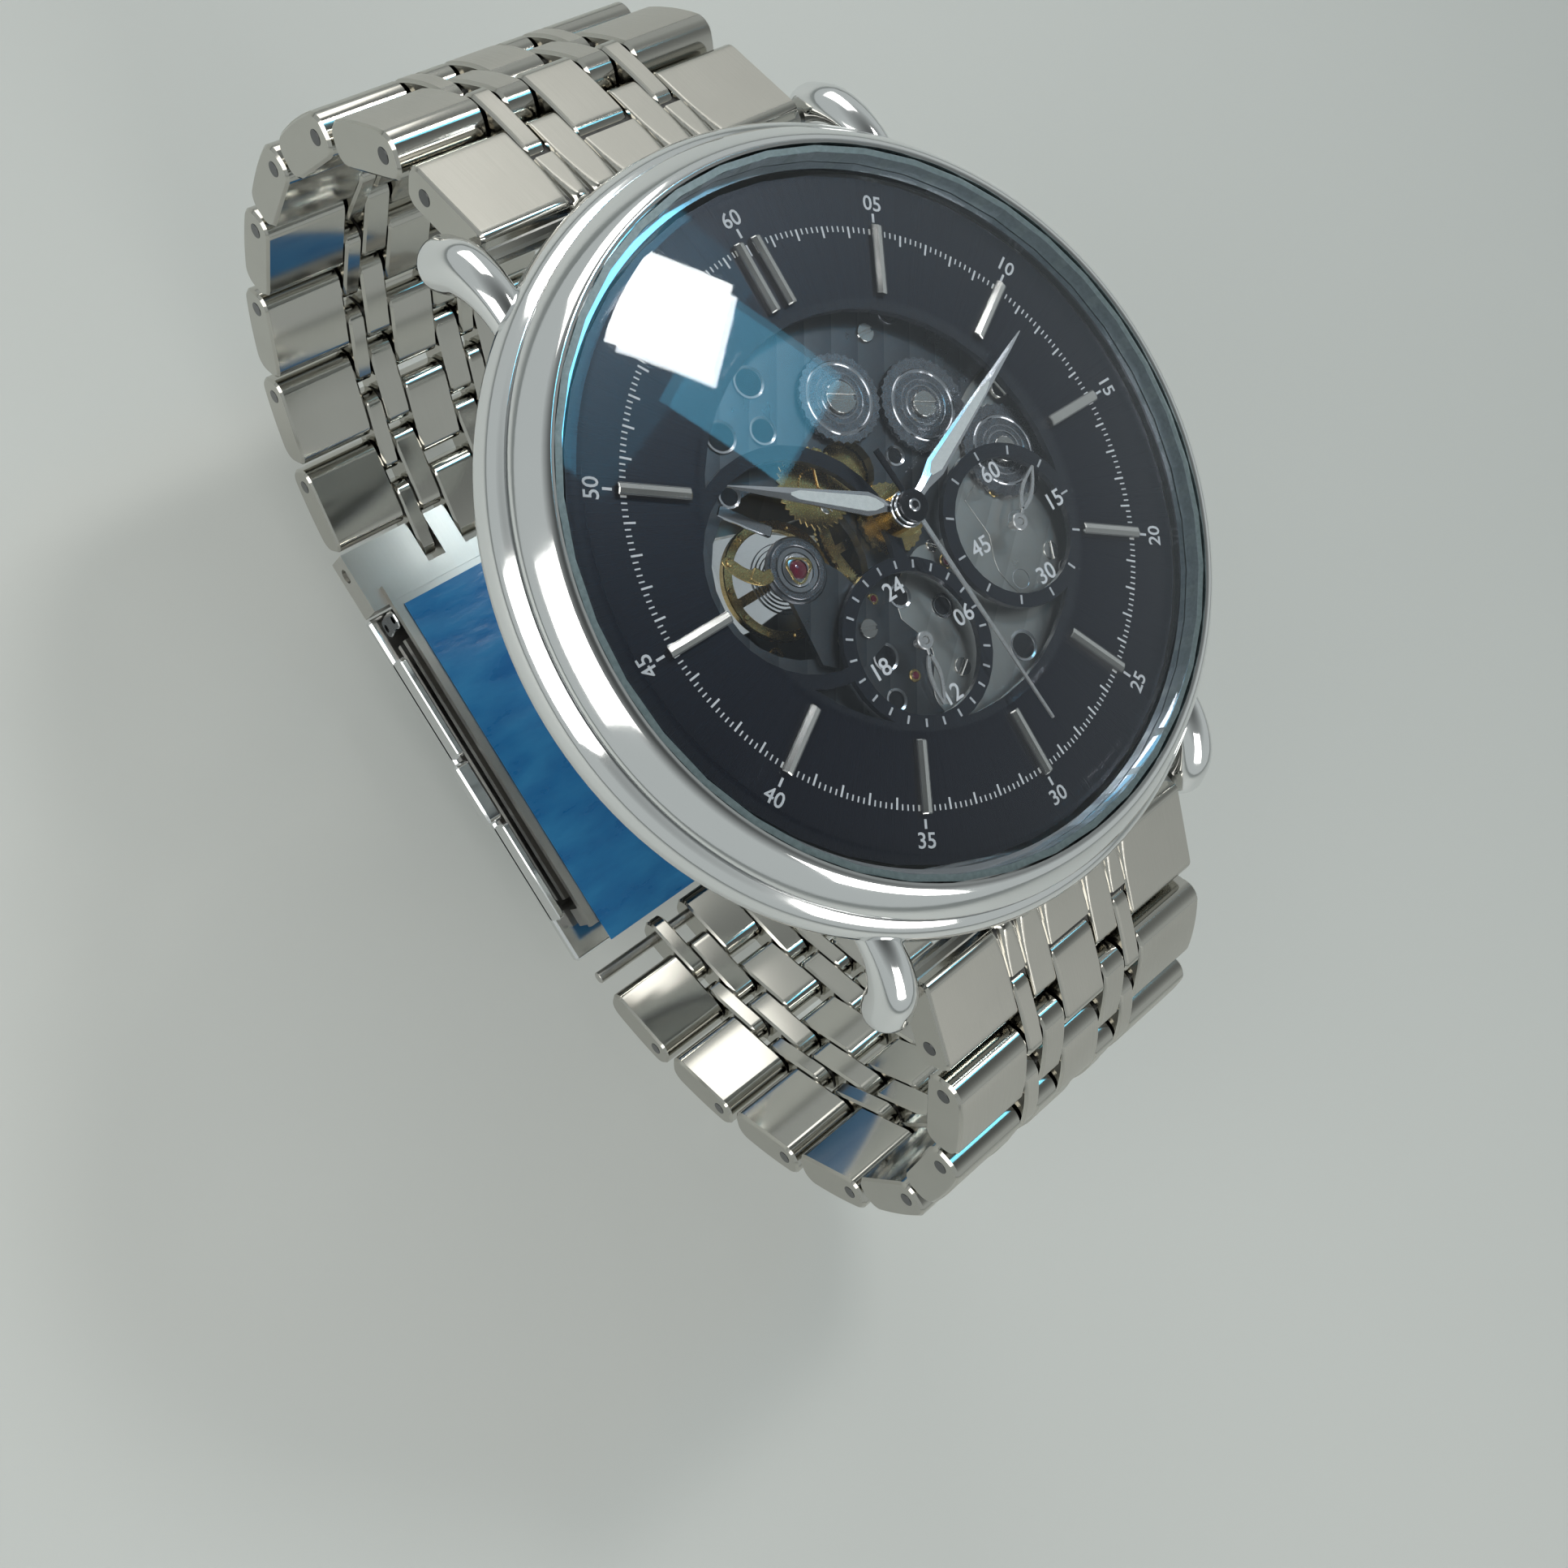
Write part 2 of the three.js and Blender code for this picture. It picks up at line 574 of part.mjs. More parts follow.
// pallet fork between the escape wheel and the balance roller
const LINE = Math.atan2(BALANCE_AT[1] - ESCAPE_AT[1], BALANCE_AT[0] - ESCAPE_AT[0]);
const FORK_AT = [
  ESCAPE_AT[0] + (TRAIN.escape.r + 0.5) * Math.cos(LINE),
  ESCAPE_AT[1] + (TRAIN.escape.r + 0.5) * Math.sin(LINE),
];
function palletFork() {
  const z = (ESCAPE_Z[0] + ESCAPE_Z[1]) / 2;
  const lever = block(1.2, 0.16, 0.15, [0.6, 0, z]);
  const bow = block(0.18, 1.7, 0.15, [0, 0, z]);
  const hub = disc(0.25, z - 0.15, z + 0.25, [0, 0], 0, 10);
  return join(lever, bow, hub).rotate([0, 0, (LINE * 180) / Math.PI]);
}
add("pallet_fork", placed(palletFork(), FORK_AT), finish.satin);

// winding rotor: a heavy half ring on a plate, turning on the middle
function rotor() {
  const [z0, z1] = ROTOR_Z;
  const half = outline([[-14, 0.4], [14, 0.4], [14, 14], [-14, 14]]);
  const keep = plate(half, z0 - 1, z1 + 1);
  const weight = disc(MOVEMENT_R - 0.4, z0, z1, [0, 0], MOVEMENT_R - 3, ROUND).intersect(keep);
  const web = disc(MOVEMENT_R - 2.8, z0 + 0.2, z0 + 0.6, [0, 0], 0, ROUND).intersect(keep);
  return join(weight, web, disc(1.8, z0 - 0.1, BRIDGE_Z[0] - FIT, [0, 0], 0, 20));
}
add("rotor", rotor().rotate([0, 0, 330]), finish.nickel);

// stem, winding pinion and crown
const PINION_X = [9.9, 11.2];
const stem = barX(STEM_R, PINION_X[0] - 0.8, WAIST_R + CROWN_GAP + FIT, 0, STEM_Z, 10);
const pinion = wheel(TRAIN.winding, PINION_X, STEM_R + RUN)
  .rotate([0, 90, 0])
  .translate([0, 0, STEM_Z]);
function crown() {
  const flutes = 20;
  const points = [];
  for (let i = 0; i < flutes; i++) {
    const step = 360 / flutes;
    points.push(polar(CROWN_R, i * step), polar(CROWN_R, (i + 0.45) * step));
    points.push(polar(CROWN_R - 0.25, (i + 0.6) * step), polar(CROWN_R - 0.25, (i + 0.85) * step));
  }
  const knob = join(
    plate(outline(points), 0.3, CROWN_L - 0.4),
    disc(CROWN_R - 0.4, 0, CROWN_L, [0, 0], 0, 16),
  );
  const inner = WAIST_R + CROWN_GAP;
  return knob.rotate([0, 90, 0]).translate([inner, 0, STEM_Z]);
}
add("winding_pinion", pinion, finish.satin);
add("crown_and_stem", join(stem, crown()), finish.polished);

// ---------------------------------------------------------------- hands
// A leaf hand pointing to 12: narrow neck, widest near the root, long taper to the tip.
function leafHand({ length, half, z, hub, bore }, share) {
  const [z0, z1] = [DIAL_Z + z, DIAL_Z + z + HAND_T];
  const blade = outline([
    [-half * 0.45, 0],
    [-half * 0.45, length * (share - 0.06)],
    [-half, length * share],
    [-0.16, length * 0.8],
    [-0.05, length],
    [0.05, length],
    [0.16, length * 0.8],
    [half, length * share],
    [half * 0.45, length * (share - 0.06)],
    [half * 0.45, 0],
  ]);
  const body = join(plate(blade, z0, z1), disc(hub, z0, z1, [0, 0], 0, 20));
  return bore ? cut(body, disc(bore, 0, 20, [0, 0], 0, 14)) : body;
}

function secondsHand({ length, tail, half, z, hub }) {
  const [z0, z1] = [DIAL_Z + z, DIAL_Z + z + HAND_T];
  const blade = outline([
    [-half * 1.9, -tail],
    [half * 1.9, -tail],
    [half * 1.2, 0],
    [half * 0.6, length],
    [-half * 0.6, length],
    [-half * 1.2, 0],
  ]);
  return join(plate(blade, z0, z1), disc(hub, z0, z1 + 0.05, [0, 0], 0, 20));
}

// Sub-dial hand: an open leaf on a ring hub, with a stub of its arbor under it.
function smallHand({ length, half, z, hub }) {
  const [z0, z1] = [DIAL_Z + z, DIAL_Z + z + HAND_T];
  const leaf = (w, a, b) =>
    outline([
      [0, a],
      [w, a + (b - a) * 0.45],
      [w * 0.5, a + (b - a) * 0.75],
      [0, b],
      [-w * 0.5, a + (b - a) * 0.75],
      [-w, a + (b - a) * 0.45],
    ]);
  const stalk = block(0.14, 1.2, z1 - z0, [0, 0.6, (z0 + z1) / 2]);
  const open = cut(plate(leaf(half, 0.7, length), z0, z1), plate(leaf(half - 0.14, 1.1, 2.8), 0, 20));
  const arbor = disc(0.18, DIAL_Z - DIAL_T, z0 + FIT, [0, 0], 0, 10);
  return join(stalk, open, disc(hub, z0, z1, [0, 0], 0, 16), arbor);
}

const aimed = (made, degrees) => made.rotate([0, 0, -degrees]);
add("hour_hand", aimed(leafHand(HANDS.hour, 0.24), HANDS.hour.angle), finish.handSteel);
add("minute_hand", aimed(leafHand(HANDS.minute, 0.24), HANDS.minute.angle), finish.handSteel);
add("seconds_hand", aimed(secondsHand(HANDS.seconds), HANDS.seconds.angle), finish.gunmetal);
add(
  "small_seconds_hand",
  placed(aimed(smallHand(HANDS.small), HANDS.small.angle), SECONDS_AT),
  finish.handSteel,
);
add("hand_24h", placed(aimed(smallHand(HANDS.small), 196), HOURS24_AT), finish.gunmetal);

// ---------------------------------------------------------------- bracelet
const REACH = 1.3; // finger length past a pin
const HALF_PITCH = BAND_PITCH / 2;
const TURN = Math.hypot(REACH, BAND_T / 2) + 2 * FIT; // room in which a finger turns

// Columns as [x0, x1, outer]: outer columns start at the row's first pin, inner ones at its second.
function columns() {
  const [a, b, c, d] = COLUMN_EDGES;
  const right = [
    [a, b, true],
    [b, c, false],
    [c, d, true],
  ];
  const left = right.map(([x0, x1, outer]) => [-x1, -x0, outer]);
  return [...left.reverse(), [-a, a, false], ...right];
}

const SIDE_GAP = 0.08; // side clearance of each finger

// One row along +U (local Y), pins at 0 and at the pitch. The solid lies on local Z = 0.
function row(front, hinge, roots) {
  let body = null;
  for (const [x0, x1, outer] of columns()) {
    const from = outer ? front : roots[0];
    const to = outer ? roots[1] : hinge + REACH;
    const [lo, hi] = [x0 + SIDE_GAP, x1 - SIDE_GAP];
    const piece = block(hi - lo, to - from, BAND_T, [(lo + hi) / 2, (from + to) / 2, 0]);
    body = body ? body.add(piece) : piece;
  }
  const spine = roots[1] - roots[0] - 0.4;
  const web = block(BAND_W - 2, spine, BAND_T - 0.5, [0, (roots[0] + roots[1]) / 2, 0]);
  const pin = barX(PIN_R, 1 - BAND_W / 2, BAND_W / 2 - 1, hinge, 0, 6);
  return join(body, web, pin);
}

const pinHole = (r, at) => barX(r, -BAND_W, BAND_W, at, 0, 6);

function bandRow() {
  const roots = [TURN + 4 * FIT, BAND_PITCH - TURN];
  return cut(row(-REACH, BAND_PITCH, roots), pinHole(PIN_R + RUN, 0));
}

const END_LINK_FRONT = -0.55;
const END_LINK_HINGE = END_LINK_PIN + HALF_PITCH;
function endLink() {
  const rear = END_LINK_HINGE - TURN;
  const fingers = row(END_LINK_FRONT, END_LINK_HINGE, [END_LINK_FRONT, rear]);
  const size = [BAND_W, rear - END_LINK_FRONT, BAND_T];
  const slab = block(...size, [0, (rear + END_LINK_FRONT) / 2, 0]);
  return cut(join(slab, fingers), pinHole(SPRING_BAR_R + 2 * RUN, 0));
}

// Pin positions of one side of the bracelet, from the spring bar to the clasp.
function pinPath(slopes) {
  let [y, z] = [LUG_REACH, LUG_Z];
  const spots = [{ y, z, slope: END_LINK_SLOPE }];
  y += END_LINK_HINGE * Math.cos(rad(END_LINK_SLOPE));
  z -= END_LINK_HINGE * Math.sin(rad(END_LINK_SLOPE));
  for (const slope of slopes) {
    spots.push({ y, z, slope });
    y += BAND_PITCH * Math.cos(rad(slope));
    z -= BAND_PITCH * Math.sin(rad(slope));
  }
  spots.push({ y, z, slope: 180 });
  return spots;
}

function layBand(side, sign) {
  const spots = pinPath(ROW_SLOPES[side]);
  spots.slice(0, -1).forEach(({ y, z, slope }, i) => {
    const piece = i ? bandRow() : endLink();
    const turnedDown = piece.rotate([-slope, 0, 0]).translate([0, y, z]);
    const name = i ? `row_${side}_${i}` : `end_link_${side}`;
    const made = sign > 0 ? turnedDown : turnedDown.rotate([0, 0, 180]);
    add(name, made, finish.satin);
  });
  const bar = barX(SPRING_BAR_R, LUG_R - LUG_X + FIT, LUG_X - LUG_R - FIT, LUG_REACH, LUG_Z);
  add(`spring_bar_${side}`, sign > 0 ? bar : bar.rotate([0, 0, 180]), finish.satin);
  const last = spots[spots.length - 1];
  return { y: sign * last.y, z: last.z };
}

const endTwelve = layBand("twelve", 1);
const endSix = layBand("six", -1);

// ---------------------------------------------------------------- clasp
// Local frame: middle of the clasp's chord, Y towards the 12 side, Z into the loop.
const chord = Math.hypot(endTwelve.y - endSix.y, endTwelve.z - endSix.z);
const tilt = Math.atan2(endTwelve.z - endSix.z, endTwelve.y - endSix.y);
const half = chord / 2;
const COVER_PIVOT = half - 4.2;
const BLADE_PIVOT = -(half - 4.6);
const COVER_Z = -BAND_T / 2 - 0.55;
const KNUCKLE_R = 0.75;
const KNUCKLE_X = 6;
const PIVOT_PIN_R = 0.35;
const COVER_PIVOT_Z = 0.1;
const BLADE_PIVOT_Z = 0.35;
const COVER_ENDS = [-(half - REACH - 0.4), COVER_PIVOT + 0.9];
const FLANGE_T = 0.5;
const BUTTON = [1.1, 5, 1.1];

const knuckle = (y, z) =>
  cut(
    barX(KNUCKLE_R, -KNUCKLE_X, KNUCKLE_X, y, z, 10),
    barX(PIVOT_PIN_R + RUN, -KNUCKLE_X - 1, KNUCKLE_X + 1, y, z, 10),
  );
const pivotPin = (y, z) => barX(PIVOT_PIN_R, -BLADE_W / 2, BLADE_W / 2, y, z, 8);
const ears = (y, z, foot) => {
  const x = (KNUCKLE_X + 0.3 + BLADE_W / 2) / 2;
  const width = BLADE_W / 2 - KNUCKLE_X - 0.3;
  const [lo, hi] = [Math.min(foot, z - 0.6), Math.max(foot, z + 0.6)];
  return [-1, 1].map((s) => block(width, 1.4, hi - lo, [s * x, y, (lo + hi) / 2]));
};

function claspCover() {
  const [y0, y1] = COVER_ENDS;
  const middle = (y0 + y1) / 2;
  const sheet = block(BAND_W, y1 - y0, COVER_T, [0, middle, COVER_Z + COVER_T / 2]);
  const flangeTop = 0.5;
  const flanges = [-1, 1].map((s) =>
    block(FLANGE_T, y1 - y0 - 7, flangeTop - COVER_Z, [
      s * (BAND_W / 2 - FLANGE_T / 2),
      middle,
      (flangeTop + COVER_Z) / 2,
    ]),
  );
  const slot = block(BAND_W + 2, BUTTON[1] + 2 * GAP, 9, [0, middle, COVER_Z + COVER_T + 4.5]);
  const pin = pivotPin(COVER_PIVOT, COVER_PIVOT_Z);
  const shell = cut(join(sheet, ...flanges), slot);
  return join(shell, ...ears(COVER_PIVOT, COVER_PIVOT_Z, COVER_Z + COVER_T - FIT), pin);
}

function button(side) {
  const [y0, y1] = COVER_ENDS;
  const x = side * (BAND_W / 2 + 0.05);
  const z = COVER_Z + COVER_T + GAP / 2 + BUTTON[2] / 2;
  return block(...BUTTON, [x, (y0 + y1) / 2, z]);
}

function outerBlade() {
  const [y0, y1] = [BLADE_PIVOT, COVER_PIVOT];
  const z = -0.45;
  const sheet = block(BLADE_W, y1 - y0 - 3.2, BLADE_T, [0, (y0 + y1) / 2, z + BLADE_T / 2]);
  const strap = (y, s) => block(2 * KNUCKLE_X, 2, BLADE_T, [0, y + s * 1.1, z + BLADE_T / 2]);
  const body = join(sheet, strap(y0, 1), strap(y1, -1));
  const bores = [
    barX(PIVOT_PIN_R + RUN, -20, 20, COVER_PIVOT, COVER_PIVOT_Z, 10),
    barX(PIVOT_PIN_R + RUN, -20, 20, BLADE_PIVOT, BLADE_PIVOT_Z, 10),
  ];
  return cut(
    join(body, knuckle(COVER_PIVOT, COVER_PIVOT_Z), knuckle(BLADE_PIVOT, BLADE_PIVOT_Z)),
    ...bores,
  );
}

const INNER_BLADE_Z = BLADE_PIVOT_Z + KNUCKLE_R + 0.1;
function innerBlade() {
  const [y0, y1] = [BLADE_PIVOT - 0.7, half - 3.2];
  const z = INNER_BLADE_Z + BLADE_T / 2;
  const sheet = block(BLADE_W, y1 - y0 + 0.4, BLADE_T, [0, (y0 + y1) / 2, z]);
  let fingers = null;
  for (const [x0, x1, outer] of columns().filter(([, , o]) => o)) {
    const width = x1 - x0 - 2 * SIDE_GAP;
    const finger = block(width, REACH + 3.2, BAND_T, [(x0 + x1) / 2, half + (REACH - 3.2) / 2, 0]);
    fingers = fingers && outer ? fingers.add(finger) : finger;
  }
  const bar = block(BLADE_W, 1.3, 1.9, [0, half - 2.55, 0.9]);
  const body = join(sheet, fingers, bar);
  const eye = barX(PIN_R + RUN, -BAND_W, BAND_W, half, 0, 10);
  const lugs = ears(BLADE_PIVOT, BLADE_PIVOT_Z, INNER_BLADE_Z + FIT);
  return join(cut(body, eye), ...lugs, pivotPin(BLADE_PIVOT, BLADE_PIVOT_Z));
}

const film = block(...FILM, [0, -0.8, INNER_BLADE_Z + BLADE_T + FIT + FILM[2] / 2]);

const clasp = new THREE.Group();
clasp.position.set(0, (endTwelve.y + endSix.y) / 2, (endTwelve.z + endSix.z) / 2);
clasp.rotation.x = tilt;
watch.add(clasp);
add("clasp_cover", claspCover(), finish.polished, clasp);
add("clasp_button_right", button(1), finish.polished, clasp);
add("clasp_button_left", button(-1), finish.polished, clasp);
add("clasp_outer_blade", outerBlade(), finish.satin, clasp);
add("clasp_inner_blade", innerBlade(), finish.satin, clasp);
add("protective_film", film, finish.blue, clasp);

export default watch;
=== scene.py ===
"""Skeleton wristwatch: visible surfaces, finishes and studio round the mechanical model."""

import json

import bpy
import numpy as np
from mathutils import Matrix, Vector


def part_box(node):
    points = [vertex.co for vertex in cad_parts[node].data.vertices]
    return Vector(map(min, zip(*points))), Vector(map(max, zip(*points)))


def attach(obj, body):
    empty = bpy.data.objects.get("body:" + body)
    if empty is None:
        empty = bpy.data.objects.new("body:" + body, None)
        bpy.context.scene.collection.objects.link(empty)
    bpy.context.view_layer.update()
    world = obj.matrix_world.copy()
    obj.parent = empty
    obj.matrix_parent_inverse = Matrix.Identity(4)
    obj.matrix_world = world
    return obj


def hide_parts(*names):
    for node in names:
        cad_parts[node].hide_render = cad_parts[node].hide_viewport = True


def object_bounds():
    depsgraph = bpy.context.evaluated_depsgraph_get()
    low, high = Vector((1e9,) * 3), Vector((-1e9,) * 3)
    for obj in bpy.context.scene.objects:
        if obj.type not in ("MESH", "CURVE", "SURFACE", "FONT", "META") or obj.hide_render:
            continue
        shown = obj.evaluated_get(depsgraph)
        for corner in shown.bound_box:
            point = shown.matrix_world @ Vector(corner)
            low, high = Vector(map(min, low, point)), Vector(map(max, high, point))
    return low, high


bl_info = {
    "name": "Skeleton Wristwatch",
    "version": (1, 0, 0),
    "blender": (4, 5, 0),
    "location": "View3D > Sidebar > Watch",
    "description": "Builds the finished surfaces of a skeleton wristwatch on its mechanical model",
    "category": "Add Mesh",
}

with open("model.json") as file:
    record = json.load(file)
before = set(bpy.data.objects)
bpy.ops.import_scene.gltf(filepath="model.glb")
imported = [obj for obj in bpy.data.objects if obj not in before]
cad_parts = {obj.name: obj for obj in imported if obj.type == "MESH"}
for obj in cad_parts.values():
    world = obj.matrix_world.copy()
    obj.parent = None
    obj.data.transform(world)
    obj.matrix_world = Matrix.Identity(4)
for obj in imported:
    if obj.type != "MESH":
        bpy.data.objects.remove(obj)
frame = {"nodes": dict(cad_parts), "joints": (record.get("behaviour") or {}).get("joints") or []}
CAD_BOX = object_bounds()
MM = 0.001
JOINTS = {j["name"]: np.array(j["pos_m"]) / MM for j in frame["joints"] if "pos_m" in j}
TAU = 2 * np.pi
# Sizes that several pieces share, in millimetres.
ROW_PITCH = 6.8
END_LINK_REACH = 7.6
LINK_EDGE = 10.5
PIN_RADIUS = 0.45
STEM_RADIUS = 0.35
DISC_GAP = 0.05


def node_box(node):
    """Lowest and highest corner of a mechanical piece, in millimetres."""
    low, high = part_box(node)
    return np.array(low) / MM, np.array(high) / MM


DIAL_TOP = node_box("figure_disc")[0][2] - DISC_GAP
BALANCE = JOINTS["balance_swing"][:2]
SECONDS = JOINTS["small_seconds_turn"][:2]
HOURS24 = JOINTS["hours24_turn"][:2]


# ------------------------------------------------------------------ surfaces
def grid_faces(rows, cols, wrap_rows=False, wrap_cols=True):
    """Quads of a grid of points; a wrapped direction joins its last line to its first."""
    i = np.arange(rows if wrap_rows else rows - 1)[:, None]
    j = np.arange(cols if wrap_cols else cols - 1)[None, :]
    i2, j2 = (i + 1) % rows, (j + 1) % cols
    quads = np.stack(
        np.broadcast_arrays(i * cols + j, i * cols + j2, i2 * cols + j2, i2 * cols + j), -1
    )
    return quads.reshape(-1, 4).tolist()


def tube(rings, cap=True, wrap=False):
    """Rings of points, shape (n, m, 3), joined in order; flat caps close both ends."""
    n, m, _ = rings.shape
    faces = grid_faces(n, m, wrap_rows=wrap)
    if cap and not wrap:
        faces += [list(range(m))[::-1], list(range((n - 1) * m, n * m))]
    return outward(rings.reshape(-1, 3), faces)


def outward(points, faces):
    """Turns all faces round if the signed volume, the sum of a.(b x c)/6, is negative."""
    fans = [(f[0], f[k], f[k + 1]) for f in faces for k in range(1, len(f) - 1)]
    a, b, c = points[np.array(fans).T]
    if np.einsum("ij,ij->i", a, np.cross(b, c)).sum() < 0:
        faces = [f[::-1] for f in faces]
    return points, faces


def lathe(profile, sides=128, centre=(0, 0)):
    """(r, z) points turned about Z: x = r cos t, y = r sin t, closed on the axis or on itself."""
    profile = np.array(profile, float)
    turn = np.linspace(0, TAU, sides, endpoint=False)
    on_axis = profile[0, 0] == 0
    body = profile[1:-1] if on_axis else profile
    r, z = body[:, :1], body[:, 1:]
    rings = np.stack([r * np.cos(turn), r * np.sin(turn), z + 0 * turn], -1)
    points = rings.reshape(-1, 3)
    faces = grid_faces(len(body), sides, wrap_rows=not on_axis)
    if on_axis:
        points = np.vstack([points, [0, 0, profile[0, 1]], [0, 0, profile[-1, 1]]])
        last = (len(body) - 1) * sides
        for k in range(sides):
            n = (k + 1) % sides
            faces += [[len(points) - 2, n, k], [len(points) - 1, last + k, last + n]]
    return outward(points + np.array([*centre, 0]), faces)


def inset(section, amount):
    """A closed (m, 2) outline moved inwards along its corner normals."""
    step = np.roll(section, -1, 0) - np.roll(section, 1, 0)
    normal = np.stack([step[:, 1], -step[:, 0]], -1)
    normal /= np.linalg.norm(normal, axis=1, keepdims=True) + 1e-12
    x, y = section.T
    turn = np.sign((x * np.roll(y, -1) - y * np.roll(x, -1)).sum())
    return section - normal * amount * turn


def prism(section, start, end, bevel=0.1, axis="z"):
    """A closed outline carried from start to end along an axis, its two rims bevelled."""
    levels = [(start, bevel), (start + bevel, 0), (end - bevel, 0), (end, bevel)]
    rings = []
    for level, back in levels:
        flat = inset(section, back) if back else section
        along = np.full((len(flat), 1), level)
        rings.append(np.hstack([along, flat] if axis == "x" else [flat, along]))
    return tube(np.array(rings))


def round_rect(x0, x1, y0, y1, radius, steps=6):
    """Outline of a rectangle with quarter circles at its corners: one radius, or one for the
    low x end and one for the high."""
    lo, hi = (radius, radius) if np.isscalar(radius) else radius
    corners = [(x1, y1, hi, 0), (x0, y1, lo, 1), (x0, y0, lo, 2), (x1, y0, hi, 3)]
    out = []
    for x, y, r, quarter in corners:
        a = np.linspace(0, np.pi / 2, steps) + quarter * np.pi / 2
        cx = x - r if quarter in (0, 3) else x + r
        cy = y - r if quarter in (0, 1) else y + r
        out.append(np.stack([cx + r * np.cos(a), cy + r * np.sin(a)], -1))
    return np.vstack(out)


def circle(x, y, radius, steps):
    """Outline of a circle, r (cos t, sin t), round (x, y)."""
    t = np.linspace(0, TAU, steps, endpoint=False)
    return np.stack([x + radius * np.cos(t), y + radius * np.sin(t)], -1)


def curve(points, count):
    """Catmull-Rom curve through points: cubic blends of each point and its neighbours."""
    p = np.array(points, float)
    p = np.vstack([2 * p[0] - p[1], p, 2 * p[-1] - p[-2]])
    t = np.linspace(0, len(points) - 1 - 1e-9, count)
    i = t.astype(int)
    s = (t - i)[:, None]
    a, b, c, d = p[i], p[i + 1], p[i + 2], p[i + 3]
    return 0.5 * (2 * b + (c - a) * s + (2 * a - 5 * b + 4 * c - d) * s**2
                  + (3 * b - a - 3 * c + d) * s**3)


def spun(part, degrees, centre=(0, 0)):
    """A part turned clockwise about Z round a centre, seen from the dial side."""
    a = -np.radians(degrees)
    turn = np.array([[np.cos(a), -np.sin(a), 0], [np.sin(a), np.cos(a), 0], [0, 0, 1]])
    return part[0] @ turn.T + np.array([*centre, 0]), part[1]


def moved(part, offset):
    """A part shifted by (x, y, z)."""
    return part[0] + np.array(offset, float), part[1]


def piece(name, parts, body, finish, replaces=(), polish=None, angle=32):
    """Makes one object of several parts (millimetres) and hangs it on its body; edges sharper
    than the angle stay crisp, and polish is a value from 0 to 1 for each point."""
    points, faces, first = [], [], 0
    for part_points, part_faces in parts:
        points.append(part_points)
        faces += [[k + first for k in face] for face in part_faces]
        first += len(part_points)
    mesh = bpy.data.meshes.new(name)
    mesh.from_pydata(np.vstack(points) * MM, [], faces)
    mesh.shade_smooth()
    mesh.set_sharp_from_angle(angle=np.radians(angle))
    if polish is not None:
        mesh.attributes.new("polish", "FLOAT", "POINT").data.foreach_set("value", polish)
    mesh.materials.append(FINISH[finish])
    made = bpy.data.objects.new(name, mesh)
    bpy.context.scene.collection.objects.link(made)
    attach(made, body)
    if replaces:
        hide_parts(*replaces)


# ------------------------------------------------------------------ materials
class Value:
    """A shader socket that takes part in arithmetic."""

    def __init__(self, look, socket):
        self.look, self.socket = look, socket

    def _do(self, operation, a, b):
        return self.look.node("Math", {"operation": operation}, {0: a, 1: b})

    def __add__(self, other):
        return self._do("ADD", self, other)

    def __sub__(self, other):
        return self._do("SUBTRACT", self, other)

    def __rsub__(self, other):
        return self._do("SUBTRACT", other, self)

    def __mul__(self, other):
        return self._do("MULTIPLY", self, other)

    __radd__, __rmul__ = __add__, __mul__


